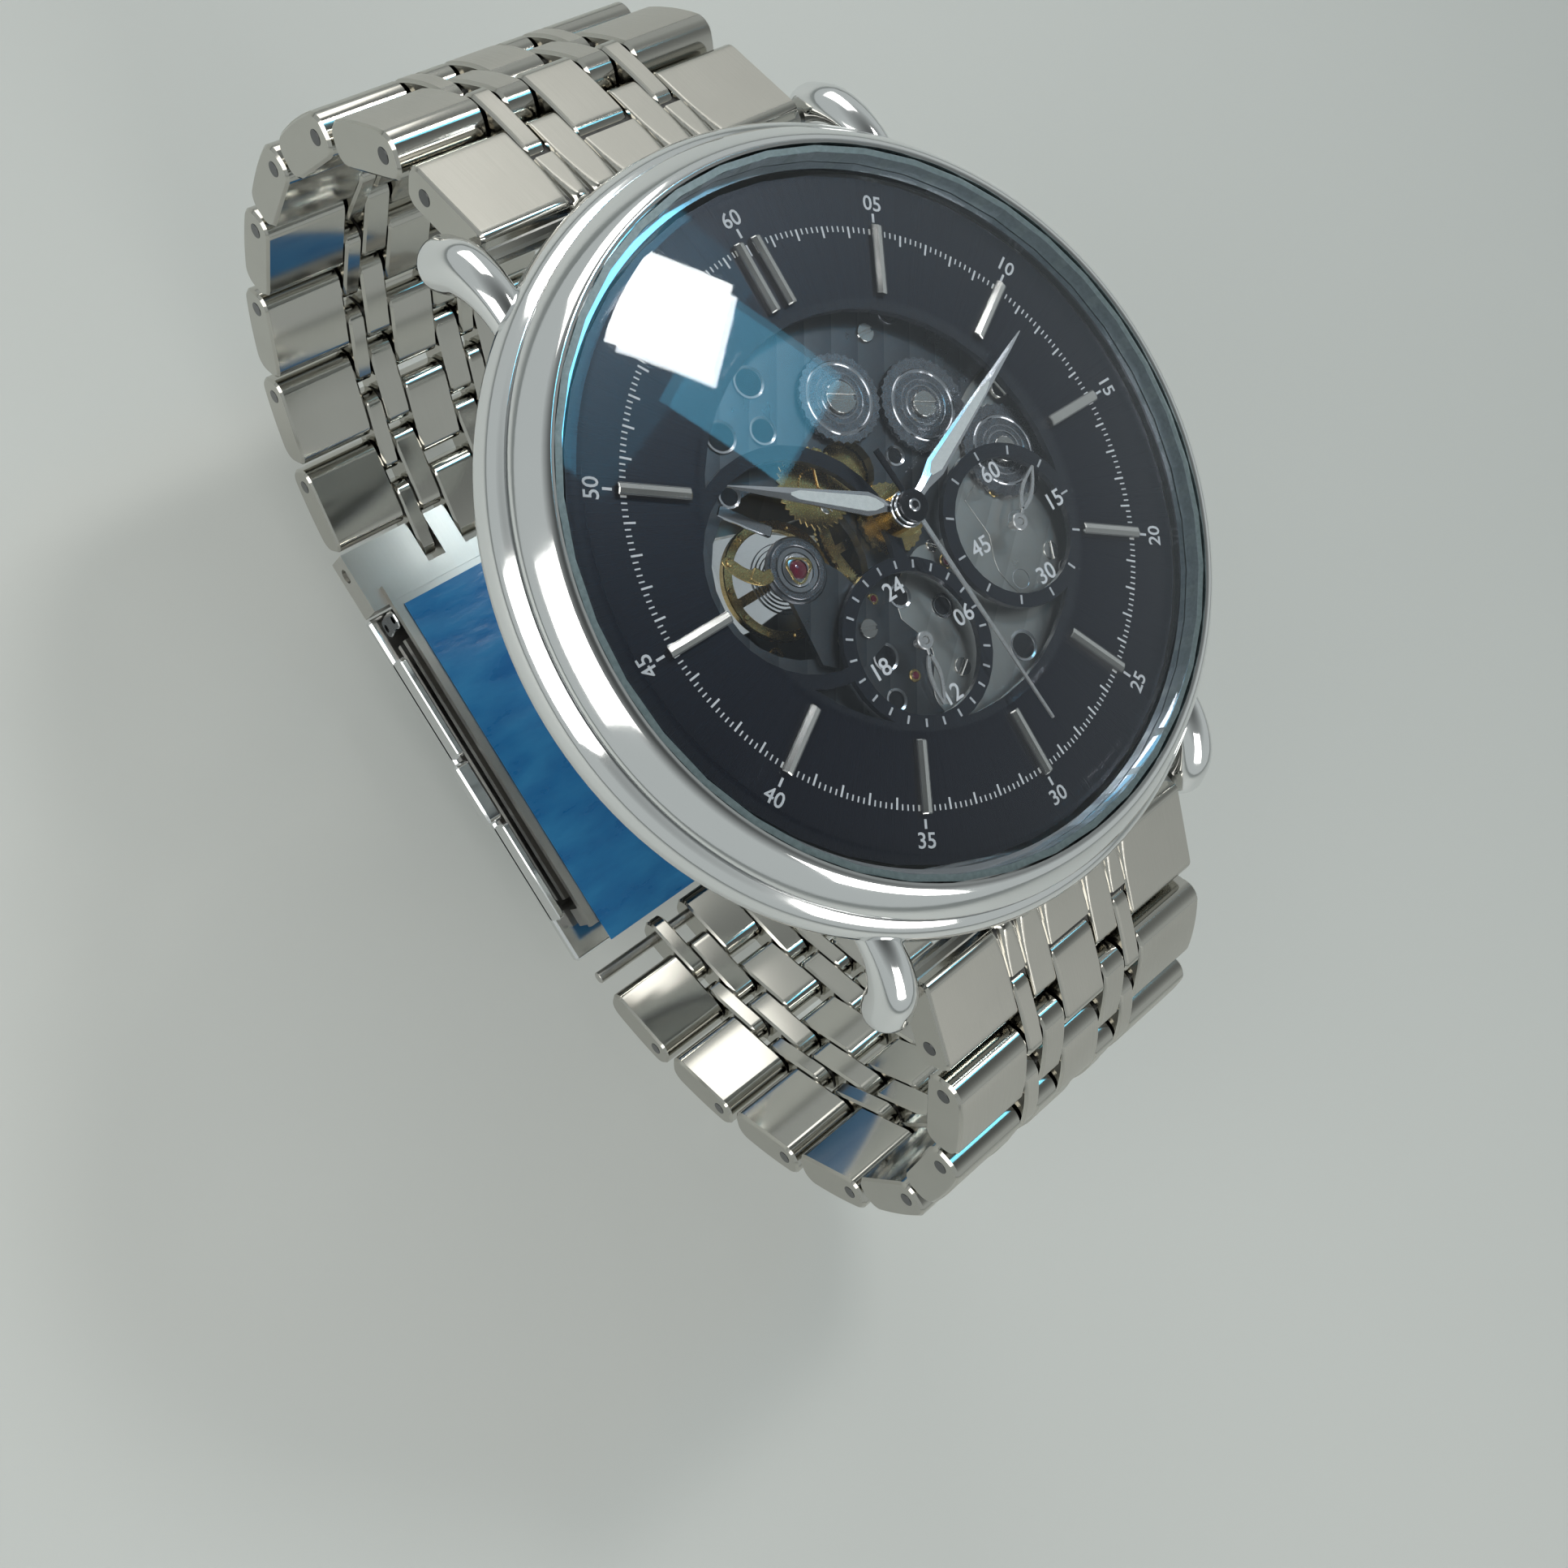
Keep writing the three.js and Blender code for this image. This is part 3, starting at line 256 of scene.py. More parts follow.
class Look:
    """One material: a Principled shader and the nodes that vary it."""

    def __init__(self, name, colour, rough, metallic=0.0, **sockets):
        self.material = bpy.data.materials.new(name)
        self.material.use_nodes = True
        self.material.diffuse_color = (*colour, 1)
        self.tree = self.material.node_tree
        self.colour = colour
        self.shader = self.tree.nodes["Principled BSDF"]
        self.set("Base Color", (*colour, 1))
        self.set("Roughness", rough)
        self.set("Metallic", metallic)
        for socket, amount in sockets.items():
            self.set(socket.replace("_", " "), amount)

    def set(self, socket, value):
        """Links a worked-out value to a shader socket, or sets a plain one."""
        target = self.shader.inputs[socket]
        if isinstance(value, Value):
            self.tree.links.new(value.socket, target)
        else:
            target.default_value = value

    def node(self, kind, settings=None, inputs=None, out=0):
        """Any node: its type, its settings, then the values or links of its sockets."""
        made = self.tree.nodes.new("ShaderNode" + kind)
        for key, value in (settings or {}).items():
            setattr(made, key, value)
        for key, value in (inputs or {}).items():
            if isinstance(value, Value):
                self.tree.links.new(value.socket, made.inputs[key])
            else:
                made.inputs[key].default_value = value
        return Value(self, made.outputs[out])

    def place(self, scale=(1, 1, 1), centre=(0, 0), turn=0.0):
        """Object coordinates in millimetres from a centre, turned about Z, then scaled."""
        where = self.node("TexCoord", out="Object")
        cos, sin = np.cos(turn), np.sin(turn)
        x, y = -centre[0], -centre[1]
        at = ((cos * x - sin * y) * scale[0], (sin * x + cos * y) * scale[1], 0)
        return self.node("Mapping", {}, {
            "Vector": where, "Rotation": (0, 0, turn), "Location": at,
            "Scale": tuple(s / MM for s in scale)})

    def noise(self, scale, detail=2.0, **where):
        """Cloudy noise from 0 to 1, its scale in waves per millimetre along each axis."""
        return self.node("TexNoise", {}, {"Vector": self.place(scale, **where), "Scale": 1.0,
                                          "Detail": detail}, out="Fac")

    def span(self, value, low, high, to_low=0.0, to_high=1.0):
        """A value's range low to high, stretched over to_low to to_high and held at both ends."""
        return self.node("MapRange", {"clamp": True}, {
            "Value": value, "From Min": low, "From Max": high,
            "To Min": to_low, "To Max": to_high})

    def tint(self, mask, other):
        """Base colour where the mask is 0, another where it is 1."""
        mixed = self.node("Mix", {"data_type": "RGBA"}, {
            0: mask, 6: (*self.colour, 1), 7: (*other, 1)}, out=2)
        self.set("Base Color", mixed)

    def bump(self, height, depth):
        """Unevenness of a height from 0 to 1, its depth in millimetres."""
        self.set("Normal", self.node("Bump", {}, {
            "Height": height, "Distance": depth * MM, "Strength": 1.0}))


def polished(name, colour, rough=0.07, wave=0.0006):
    """Mirror metal with faint smears and hairlines."""
    look = Look(name, colour, rough, 1.0)
    smear = look.noise((0.18, 0.18, 0.18), 4)
    look.set("Roughness", look.span(smear, 0.3, 0.75, rough * 0.7, rough * 1.9))
    look.tint(look.span(smear, 0.35, 0.8, 0, 0.3), tuple(c * 0.9 for c in colour))
    look.bump(look.noise((3, 3, 3), 1), wave)
    return look.material


def brushed(name, colour, rough, scale, polish=False, depth=0.004):
    """Satin metal: noise drawn out along the brushing; the polish attribute smooths bevels."""
    look = Look(name, colour, rough, 1.0)
    line = look.noise(scale, 3)
    cloud = look.noise((0.35, 0.35, 0.35), 3)
    satin = look.span(line, 0.3, 0.7, rough * 0.88, rough * 1.12)
    look.tint(look.span(line * 0.5 + cloud * 0.5, 0.3, 0.75), tuple(c * 0.93 for c in colour))
    if polish:
        bright = look.node("Attribute", {"attribute_name": "polish"}, out="Fac")
        look.set("Roughness", satin * (1 - bright) + bright * 0.11)
        look.bump(line * (1 - bright), depth)
    else:
        look.set("Roughness", satin)
        look.bump(line, depth)
    return look.material


def clear(name, tint, gloss=0.9):
    """Thin clear sheet: straight-through light and a gloss of r + (1 - r)(1 - cos a)^5."""
    look = Look(name, (0.9, 0.95, 1.0), 0.03, 0.0)
    tree = look.tree
    facing = look.node("LayerWeight", {}, {"Blend": 0.5}, out="Facing")
    rise = look.node("Math", {"operation": "POWER"}, {0: facing, 1: 5.0})
    smear = look.noise((0.12, 0.12, 0.12), 3)
    share = look.span(rise, 0.0, 1.0, 0.034, gloss) + smear * 0.004
    through = look.node("BsdfTransparent", {}, {"Color": (*tint, 1)})
    mirror = look.node("BsdfGlossy", {}, {"Roughness": 0.025, "Color": (0.93, 0.97, 1, 1)})
    mixed = look.node("MixShader", {}, {0: share, 1: through, 2: mirror})
    tree.links.new(mixed.socket, tree.nodes["Material Output"].inputs["Surface"])
    look.material.surface_render_method = "BLENDED"
    return look.material


def dial_lacquer():
    """Near-black lacquer with a fine radial grain under a clear coat."""
    look = Look("dial_lacquer", (0.008, 0.01, 0.017), 0.3, 0.3)
    look.set("Coat Weight", 0.3)
    ring = look.node("TexGradient", {"gradient_type": "RADIAL"}, {"Vector": look.place()})
    grain = look.node("TexNoise", {"noise_dimensions": "1D"}, {"W": ring * 900, "Detail": 2},
                      out="Fac")
    fleck = look.noise((9, 9, 9), 2)
    look.tint(look.span(grain * 0.7 + fleck * 0.3, 0.3, 0.75), (0.014, 0.016, 0.026))
    look.set("Roughness", look.span(grain, 0.2, 0.8, 0.24, 0.42))
    look.bump(fleck, 0.0004)
    return look.material


def striped(name, colour, dark, turn, pitch, rough=0.28):
    """Plated plate with parallel polishing bands and fine grain across them."""
    look = Look(name, colour, rough, 1.0)
    where = look.place((1 / pitch,) * 3, turn=turn)
    band = look.node("TexWave", {"wave_profile": "SAW", "bands_direction": "X"},
                     {"Vector": where, "Scale": 0.32, "Distortion": 0.0}, out="Fac")
    grain = look.noise((0.7, 22, 0.7), 3, turn=turn)
    patina = look.noise((0.5, 0.5, 0.5), 4)
    look.tint(look.span(band * 0.3 + grain * 0.15 + patina * 0.55, 0.25, 0.8), dark)
    look.set("Roughness", look.span(patina, 0.25, 0.8, rough * 0.8, rough * 1.3))
    look.bump(band + patina * 0.2, 0.0012)
    return look.material


def grained(name, colour, dark, rough, metallic=1.0, size=1.5, depth=0.004, **sockets):
    """A plain finish with cloudy tone, fine grain and a slight unevenness."""
    look = Look(name, colour, rough, metallic, **sockets)
    cloud = look.noise((size,) * 3, 4)
    fine = look.noise((size * 9,) * 3, 2)
    look.tint(look.span(cloud * 0.7 + fine * 0.3, 0.32, 0.72), dark)
    look.set("Roughness", look.span(fine, 0.25, 0.8, rough * 0.8, rough * 1.3))
    look.bump(fine, depth)
    return look.material


def film_plastic():
    """Tinted protective film: see-through blue with wrinkles."""
    look = Look("blue_film", (0.01, 0.13, 0.36), 0.3, 0.0)
    look.set("Alpha", 0.94)
    crease = look.noise((0.22, 0.6, 0.4), 4)
    look.tint(look.span(crease, 0.3, 0.75), (0.03, 0.24, 0.5))
    look.set("Roughness", look.span(crease, 0.3, 0.7, 0.22, 0.45))
    look.bump(crease, 0.12)
    return look.material


FINISH = {}


def make_finishes():
    """Every finish by its short name."""
    steel = tuple(bpy.context.scene.watch.steel)
    FINISH.update(
        polished=polished("polished_steel", steel),
        satin=brushed("satin_steel", (0.52, 0.508, 0.468), 0.44, (26, 0.3, 0.3), polish=True,
                      depth=0.0010),
        blade=brushed("blade_steel", (0.56, 0.55, 0.52), 0.32, (22, 0.3, 0.3), depth=0.0015),
        # dark grey core inside each row: painted shade in the gaps between the columns
        core=grained("link_core", (0.09, 0.09, 0.09), (0.05, 0.05, 0.05), 0.5, 0.8),
        glass=clear("domed_crystal", (0.955, 0.965, 0.985)),
        disc=clear("clear_disc", (0.97, 0.975, 0.98), 0.5),
        dial=dial_lacquer(),
        print=grained("white_print", (0.78, 0.8, 0.8), (0.66, 0.68, 0.69), 0.5, 0.0, 6),
        marker=polished("marker_steel", (0.8, 0.78, 0.72), 0.16, 0.00005),
        hand=polished("hand_steel", (0.78, 0.79, 0.8), 0.12, 0.00005),
        needle=grained("needle_silver", (0.66, 0.66, 0.64), (0.5, 0.5, 0.49), 0.3, 0.75, 4,
                       0.0001),
        lume=grained("pale_inlay", (0.72, 0.76, 0.73), (0.6, 0.65, 0.63), 0.6, 0.0, 5),
        dark=striped("dark_plate", (0.19, 0.193, 0.197), (0.085, 0.088, 0.093), 0.6, 1.6, 0.31),
        # near-black finish of the seconds tail and pin ends, also used as painted shade in the
        # plate's holes
        ebony=grained("ebony", (0.01, 0.011, 0.014), (0.02, 0.021, 0.026), 0.2, 0.3, 3, 0.0006,
                      Coat_Weight=0.6),
        nickel=striped("nickel_plate", (0.7, 0.69, 0.63), (0.5, 0.49, 0.45), 0.9, 1.9, 0.34),
        gilt=grained("gilt_brass", (0.72, 0.53, 0.22), (0.52, 0.36, 0.13), 0.24, 1.0, 2),
        wheel=grained("wheel_steel", (0.34, 0.34, 0.345), (0.2, 0.2, 0.21), 0.26, 1.0, 3,
                      0.001),
        ruby=grained("ruby", (0.22, 0.008, 0.035), (0.12, 0.003, 0.02), 0.08, 0.0, 4, 0.0004,
                     Coat_Weight=1.0),
        seal=grained("crystal_seal", (0.17, 0.22, 0.23), (0.1, 0.14, 0.15), 0.3, 0.2, 4),
        film=film_plastic(),
    )


# ------------------------------------------------------------------ case
def horn(side, end, sizes):
    """Round horn: a circle carried along a falling curve, its radius growing as
    r (1 - q (1 + cos(pi s)) / 2) towards the free end, which is a ball."""
    reach, low = JOINTS["end_link_twelve_hinge"][1:]
    steps, thinning = 14, 0.3
    path = curve([(reach - 6.2, low + 2.75), (reach - 3.2, low + 2.55),
                  (reach - 1.1, low + 1.5), (reach, low)], steps)
    waning = (1 + np.cos(np.pi * np.linspace(0, 1, steps))) / 2
    radii = sizes.horn_radius * (1 - thinning * waning)
    ahead = path[-1] - path[-2]
    ahead /= np.linalg.norm(ahead)
    a = np.linspace(0, np.pi / 2, 9)[1:]
    ball = path[-1] + np.outer(np.sin(a), ahead) * sizes.horn_radius
    radii = np.append(radii, np.cos(a) * sizes.horn_radius + 0.004)
    path = np.vstack([path, ball])
    along = np.gradient(path, axis=0)
    along[steps:] = ahead
    along /= np.linalg.norm(along, axis=1, keepdims=True)
    t = np.linspace(0, TAU, 40, endpoint=False)
    across = radii[:, None] * np.cos(t)
    up = radii[:, None] * np.sin(t)
    rings = np.stack([sizes.horn_x + across, path[:, :1] - up * along[:, 1:],
                      path[:, 1:] + up * along[:, :1]], -1)
    return tube(rings * np.array([side, end, 1]))


class WATCH_OT_case(bpy.types.Operator):
    """Middle case with four horns, bezel, case back and crown"""

    bl_idname = "watch.case"
    bl_label = "Case"

    def execute(self, context):
        sizes = context.scene.watch
        sides = 160
        wall = curve([(19.3, 1.25), (19.5, 1.6), (19.62, 2.6), (19.95, 4.0), (20.6, 4.7),
                      (21.15, 5.4), (21.4, 6.2), (21.3, 6.95), (20.95, 7.5), (20.5, 7.86)], 46)
        profile = np.vstack([[(18.0, 1.25)], wall, [(18.78, 7.9), (18.78, 8.55), (18.0, 8.55)]])
        parts = [lathe(profile, sides)]
        parts += [horn(x, y, sizes) for x in (1, -1) for y in (1, -1)]
        piece("case_body", parts, "case", "polished", ["middle_case"])
        slope = curve([(20.4, 8.0), (20.42, 8.2), (20.25, 8.5), (19.95, 8.9), (19.6, 9.3),
                       (19.3, 9.58), (19.02, 9.72), (18.8, 9.7)], 34)
        ring = np.vstack([[(18.8, 7.95), (20.3, 7.95)], slope])
        piece("bezel_ring", [lathe(ring, sides)], "case", "polished",
              ["bezel"])
        back = [(13.95, 0), (18.4, 0), (18.8, 0.12), (18.98, 0.4), (19, 1.2), (17.95, 1.2),
                (17.95, 1.8), (16.95, 1.8), (16.95, 1.15), (13.45, 1.15), (13.45, 0.95),
                (13.95, 0.95)]
        grooves = [lathe([(15.3 + k, 0.0), (15.42 + k, 0.03), (15.54 + k, 0.0), (15.42 + k, 0.1)])
                   for k in (0, 1.6)]
        piece("back_ring", [lathe(back, sides)] + grooves, "case", "polished",
              ["case_back"])
        self.crown(sizes)
        return {"FINISHED"}

    def crown(self, sizes):
        """Fluted knob of radius R - d f ((1 - cos(n t)) / 2)^0.6, f being 1 in the middle band
        and 0 at both rounded rims, and its straight stem."""
        low, high = node_box("crown_and_stem")
        length, flute_depth = 2.0, 0.16
        x1 = high[0]
        x0, z, r = x1 - length, JOINTS["winding_turn"][2], (high[2] - low[2]) / 2
        along = np.array([0, 0, .04, .12, .21, .76, .85, .94, .98, 1, 1]) * (x1 - x0) + x0
        radius = np.array([.5, .84, .93, .97, 1, 1, .97, .91, .82, .6, .3]) * r
        flute = np.array([0, 0, .2, .8, 1, 1, .8, .2, 0, 0, 0])
        t = np.linspace(0, TAU, 240, endpoint=False)
        wave = (1 - np.cos(sizes.crown_flutes * t)) / 2
        edge = radius[:, None] - flute_depth * flute[:, None] * wave**0.6
        rings = np.stack([along[:, None] + 0 * t, edge * np.cos(t), z + edge * np.sin(t)], -1)
        u = np.linspace(0, TAU, 24, endpoint=False)
        ends = np.array([low[0], x0 + 0.1])[:, None]
        stem = np.stack([ends + 0 * u, STEM_RADIUS * np.cos(u) + 0 * ends,
                         z + STEM_RADIUS * np.sin(u) + 0 * ends], -1)
        piece("crown_knob", [tube(rings), tube(stem)], "crown", "polished",
              ["crown_and_stem"])


class WATCH_OT_crystal(bpy.types.Operator):
    """Domed crystal, its seal, the clear figure disc and the window of the case back"""

    bl_idname = "watch.crystal"
    bl_label = "Crystal"

    def execute(self, context):
        """Dome height h (1 - t^2) over the edge, t being the share of the radius."""
        low, high = node_box("crystal")
        dome, wall = 1.32, 0.5
        edge, top, r = high[2] - dome, high[2], high[0]
        t = np.linspace(0, 1, 26)
        outer = np.stack([t * (r - 0.2), edge + (top - edge) * (1 - t**2)], -1)
        inner = np.stack([t * (r - 1), edge - wall + (top - edge) * (1 - t**2)], -1)[::-1]
        rim = [(r - 0.05, edge - 0.06), (r, edge - 0.16), (r, low[2]), (r - 1, low[2])]
        piece("domed_crystal", [lathe(np.vstack([outer, rim, inner]), 128)], "case",
              "glass", ["crystal"])
        for node, finish in (("crystal_gasket", "seal"), ("figure_disc", "disc"),
                             ("case_back_window", "glass")):
            dress(node, finish)
        return {"FINISHED"}


def dress(node, finish):
    """Gives a mechanical piece a finish of this file."""
    for slot in frame["nodes"][node].material_slots:
        slot.material = FINISH[finish]


# ------------------------------------------------------------------ dial
def radial_bars(angles, inner, outer, width, z0, z1, centre=(0, 0)):
    """Thin bars along radii: one box turned to each angle, clockwise from 12."""
    w = width / 2
    outline = np.array([(-w, inner), (w, inner), (w, outer), (-w, outer)])
    bar = tube(np.array([np.hstack([outline, np.full((4, 1), z)]) for z in (z0, z1)]))
    return [spun(bar, a, centre) for a in angles]


def figures(name, entries, z):
    """Raised figures as (text, x, y, height, turn clockwise), made meshes and placed flat."""
    size_per_height, relief = 1.38, 0.01
    parts = []
    for text, x, y, height, turn in entries:
        words = bpy.data.curves.new(name, "FONT")
        words.body, words.size = text, height * size_per_height * MM
        words.extrude = relief * MM
        words.align_x, words.align_y, words.resolution_u = "CENTER", "CENTER", 3
        words.offset = 0.012 * height * MM
        holder = bpy.data.objects.new(name, words)
        mesh = bpy.data.meshes.new_from_object(holder)
        points = np.empty(len(mesh.vertices) * 3)
        mesh.vertices.foreach_get("co", points)
        points = points.reshape(-1, 3) / MM
        points[:, :2] -= (points[:, :2].max(0) + points[:, :2].min(0)) / 2
        points[:, 2] += z
        faces = [list(p.vertices) for p in mesh.polygons]
        parts.append(spun((points, faces), turn, (x, y)))
        bpy.data.objects.remove(holder)
    piece(name, parts, "case", "print")


class WATCH_OT_dial(bpy.types.Operator):
    """Dial printing, hour markers and the figures of both sub-dials"""

    bl_idname = "watch.dial"
    bl_label = "Dial"

    def execute(self, context):
        dress("dial", "dial")
        sizes = context.scene.watch
        z = DIAL_TOP
        ink, raised = (z + 0.002, z + 0.03), 0.012
        outside = sizes.track_radius
        every = np.arange(300) * 1.2
        minute = np.arange(300) % 5 == 0
        track = radial_bars(every[~minute], outside - 0.3, outside, 0.07, *ink)
        track += radial_bars(every[minute], outside - 0.6, outside, 0.1, *ink)
        track += radial_bars(np.arange(12) * 30, 15.5, 15.98, 0.13, *ink)
        ring = SECONDS, np.arange(12) * 30.0, 3.8, 4.28
        day = HOURS24, np.arange(24) * 15.0, 3.86, 4.28
        for centre, turns, inner, outer in (ring, day):
            track += radial_bars(turns, inner, outer, 0.11, *ink, centre)
        piece("dial_track", track, "case", "print")
        ring_radius, around = 16.55, []
        for k in range(1, 13):
            turn = k * 30.0
            low = 4 <= k <= 8
            a = np.radians(turn)
            at = (ring_radius * np.sin(a), ring_radius * np.cos(a))
            around.append((f"{k * 5:02d}", *at, 0.82, turn + 180 if low else turn))
        figures("minute_figures", around, z + raised)
        inner = []
        sub_dials = (SECONDS, ("60", "15", "30", "45")), (HOURS24, ("24", "06", "12", "18"))
        for centre, words in sub_dials:
            for k, word in enumerate(words):
                a = np.radians(90.0 * k)
                r = 2.95 if k % 2 else 3.0
                at = (centre[0] + r * np.sin(a), centre[1] + r * np.cos(a))
                inner.append((word, *at, 0.92, 0.0))
        figures("disc_figures", inner, node_box("figure_disc")[1][2] + raised)
        self.markers(z, sizes.marker_width)
        return {"FINISHED"}

    def markers(self, z, width):
        """Batons with a ridge: a five-sided section carried along the radius."""
        w = width / 2 + 0.02
        section = np.array([(-w, 0.01), (w, 0.01), (w, 0.31), (0, 0.4), (-w, 0.31)])
        rings = []
        for y, shrink in ((11.56, 0.9), (11.62, 1), (15.22, 1), (15.28, 0.9)):
            rings.append([(x * shrink, y, z + h * shrink) for x, h in section])
        baton = tube(np.array(rings))
        parts = [spun(baton, 30 * k) for k in range(1, 12)]
        parts += [moved(baton, (dx, 0, 0)) for dx in (-width, width)]
        piece("hour_markers", parts, "case", "marker", angle=12)


# ------------------------------------------------------------------ hands
def leaf(length, start, widths, z, thick, ridge):
    """Leaf blade: half-width follows (share of length, half-width); its middle line is raised."""
    share, half = np.array(widths).T
    y = np.unique(np.concatenate([np.linspace(0, 1, 20), share]))
    w = np.interp(y, share, half)
    y = start + y * (length - start)
    rings = np.stack([
        np.stack([-w, y, 0 * y + z], -1), np.stack([w, y, 0 * y + z], -1),
        np.stack([w, y, 0 * y + z + thick], -1),
        np.stack([0 * w, y, 0 * y + z + thick + ridge * np.minimum(w / 0.3, 1)], -1),
        np.stack([-w, y, 0 * y + z + thick], -1)], 1)
    return tube(rings)


def hub(radius, z0, z1, bore=0.0):
    """Round boss on the axis with a bevelled top rim, solid or with a bore."""
    return lathe([(bore, z0), (radius, z0), (radius, z1 - 0.05), (radius - 0.05, z1), (bore, z1)],
                 40)


class WATCH_OT_hands(bpy.types.Operator):
    """Hour, minute and seconds hands and the two small hands"""

    bl_idname = "watch.hands"
    bl_label = "Hands"

    def execute(self, context):
        self.broad_hand("hour", 302.0, 10.0, 0.62, (1.4, 6.6), 0.98, 0.74)
        self.broad_hand("minute", 67.5, 12.9, 0.56, (2.3, 9.0), 0.88, 0.36)
        z = node_box("seconds_hand")[0][2]
        turn = 175
        needle = leaf(12.9, 0.3, [(0, 0.13), (1, 0.07)], z, 0.1, 0.02)
        tail = leaf(-0.3, -3.3, [(0, 0.17), (1, 0.13)], z, 0.1, 0.02)
        piece("seconds_blade", [spun(needle, turn)], "seconds", "needle",
              ["seconds_hand"])
        piece("seconds_tail", [spun(tail, turn), hub(0.86, z + 0.05, z + 0.22)], "seconds",
              "ebony")
        piece("seconds_cap", [hub(0.34, z + 0.2, z + 0.3, 0.2)], "seconds", "hand")
        small = (("small_seconds_hand", "small_seconds", 50, SECONDS),
                 ("hand_24h", "hours24", 196, HOURS24))
        for node, body, turn, centre in small:
            self.open_hand(node, body, turn, centre)
        return {"FINISHED"}

    def broad_hand(self, name, turn, length, width, lume, boss, bore):
        """Leaf blade with its boss, and a pale inlay 0.62 of the blade's width."""
        z = node_box(f"{name}_hand")[0][2]
        start = 0.3
        shape = [(0, 0.26), (0.1, 0.3), (0.2, width), (0.62, width * 0.55), (0.9, 0.13), (1, 0.03)]
        blade = leaf(length, start, shape, z, 0.1, 0.07)
        piece(f"{name}_blade", [spun(blade, turn), hub(boss, z, z + 0.17, bore)], name,
              "hand", [f"{name}_hand"], angle=8)
        first, last = ((v - start) / (length - start) for v in lume)
        y = np.linspace(first, last, 12)
        share, half = np.array(shape).T
        w = np.interp(y, share, half) * 0.62
        w[[0, -1]] *= 0.35
        y = start + y * (length - start)
        edge = np.vstack([np.stack([w, y], -1), np.stack([-w, y], -1)[::-1]])
        flat = [np.hstack([edge, np.full((len(edge), 1), h)]) for h in (z + 0.08, z + 0.185)]
        piece(f"{name}_inlay", [spun(tube(np.array(flat)), turn)], name, "lume")

    def open_hand(self, node, body, turn, centre):
        """Open leaf: two mirrored ribbons whose middle line is w(s) = W sin(pi s), and a ring."""
        z = node_box(node)[1][2] - 0.14
        s = np.linspace(0, 1, 22)
        middle = 0.3 * np.sin(np.pi * s**0.8)
        y = 0.75 + s * 2.57
        parts = []
        for side in (1, -1):
            wide = 0.12 - 0.05 * s
            inner, outer = side * np.maximum(middle - wide, 0), side * (middle + wide)
            ring = [np.stack([inner, y, 0 * y + z], -1), np.stack([outer, y, 0 * y + z], -1),
                    np.stack([outer, y, 0 * y + z + 0.12], -1),
                    np.stack([inner, y, 0 * y + z + 0.12], -1)]
            parts.append(tube(np.stack(ring, 1)))
        w = 0.09
        outline = np.array([(-w, 0.2), (w, 0.2), (w * 0.7, 0.85), (-w * 0.7, 0.85)])
        parts.append(prism(outline, z, z + 0.12, 0.015))
        placed = [spun(p, turn, centre) for p in parts]
        placed += [moved(hub(0.48, z, z + 0.16, 0.22), (*centre, 0)),
                   moved(hub(0.22, z - 0.7, z + 0.1), (*centre, 0))]
        piece(node + "_open", placed, body, "needle", [node])


# ------------------------------------------------------------------ movement
def screw(x, y, z, r=0.55, turn=0.0):
    """Polished screw head with a slot: a bevelled disc in two halves with a gap between them."""
    a = np.linspace(0.16, np.pi - 0.16, 14)
    half = np.stack([r * np.cos(a), r * np.sin(a)], -1)
    parts = [prism(half * side, z, z + 0.16, 0.03) for side in (1, -1)]
    parts.append(moved(hub(r * 0.96, z - 0.05, z + 0.08), (0, 0, 0)))
    return [spun(p, turn, (x, y)) for p in parts]


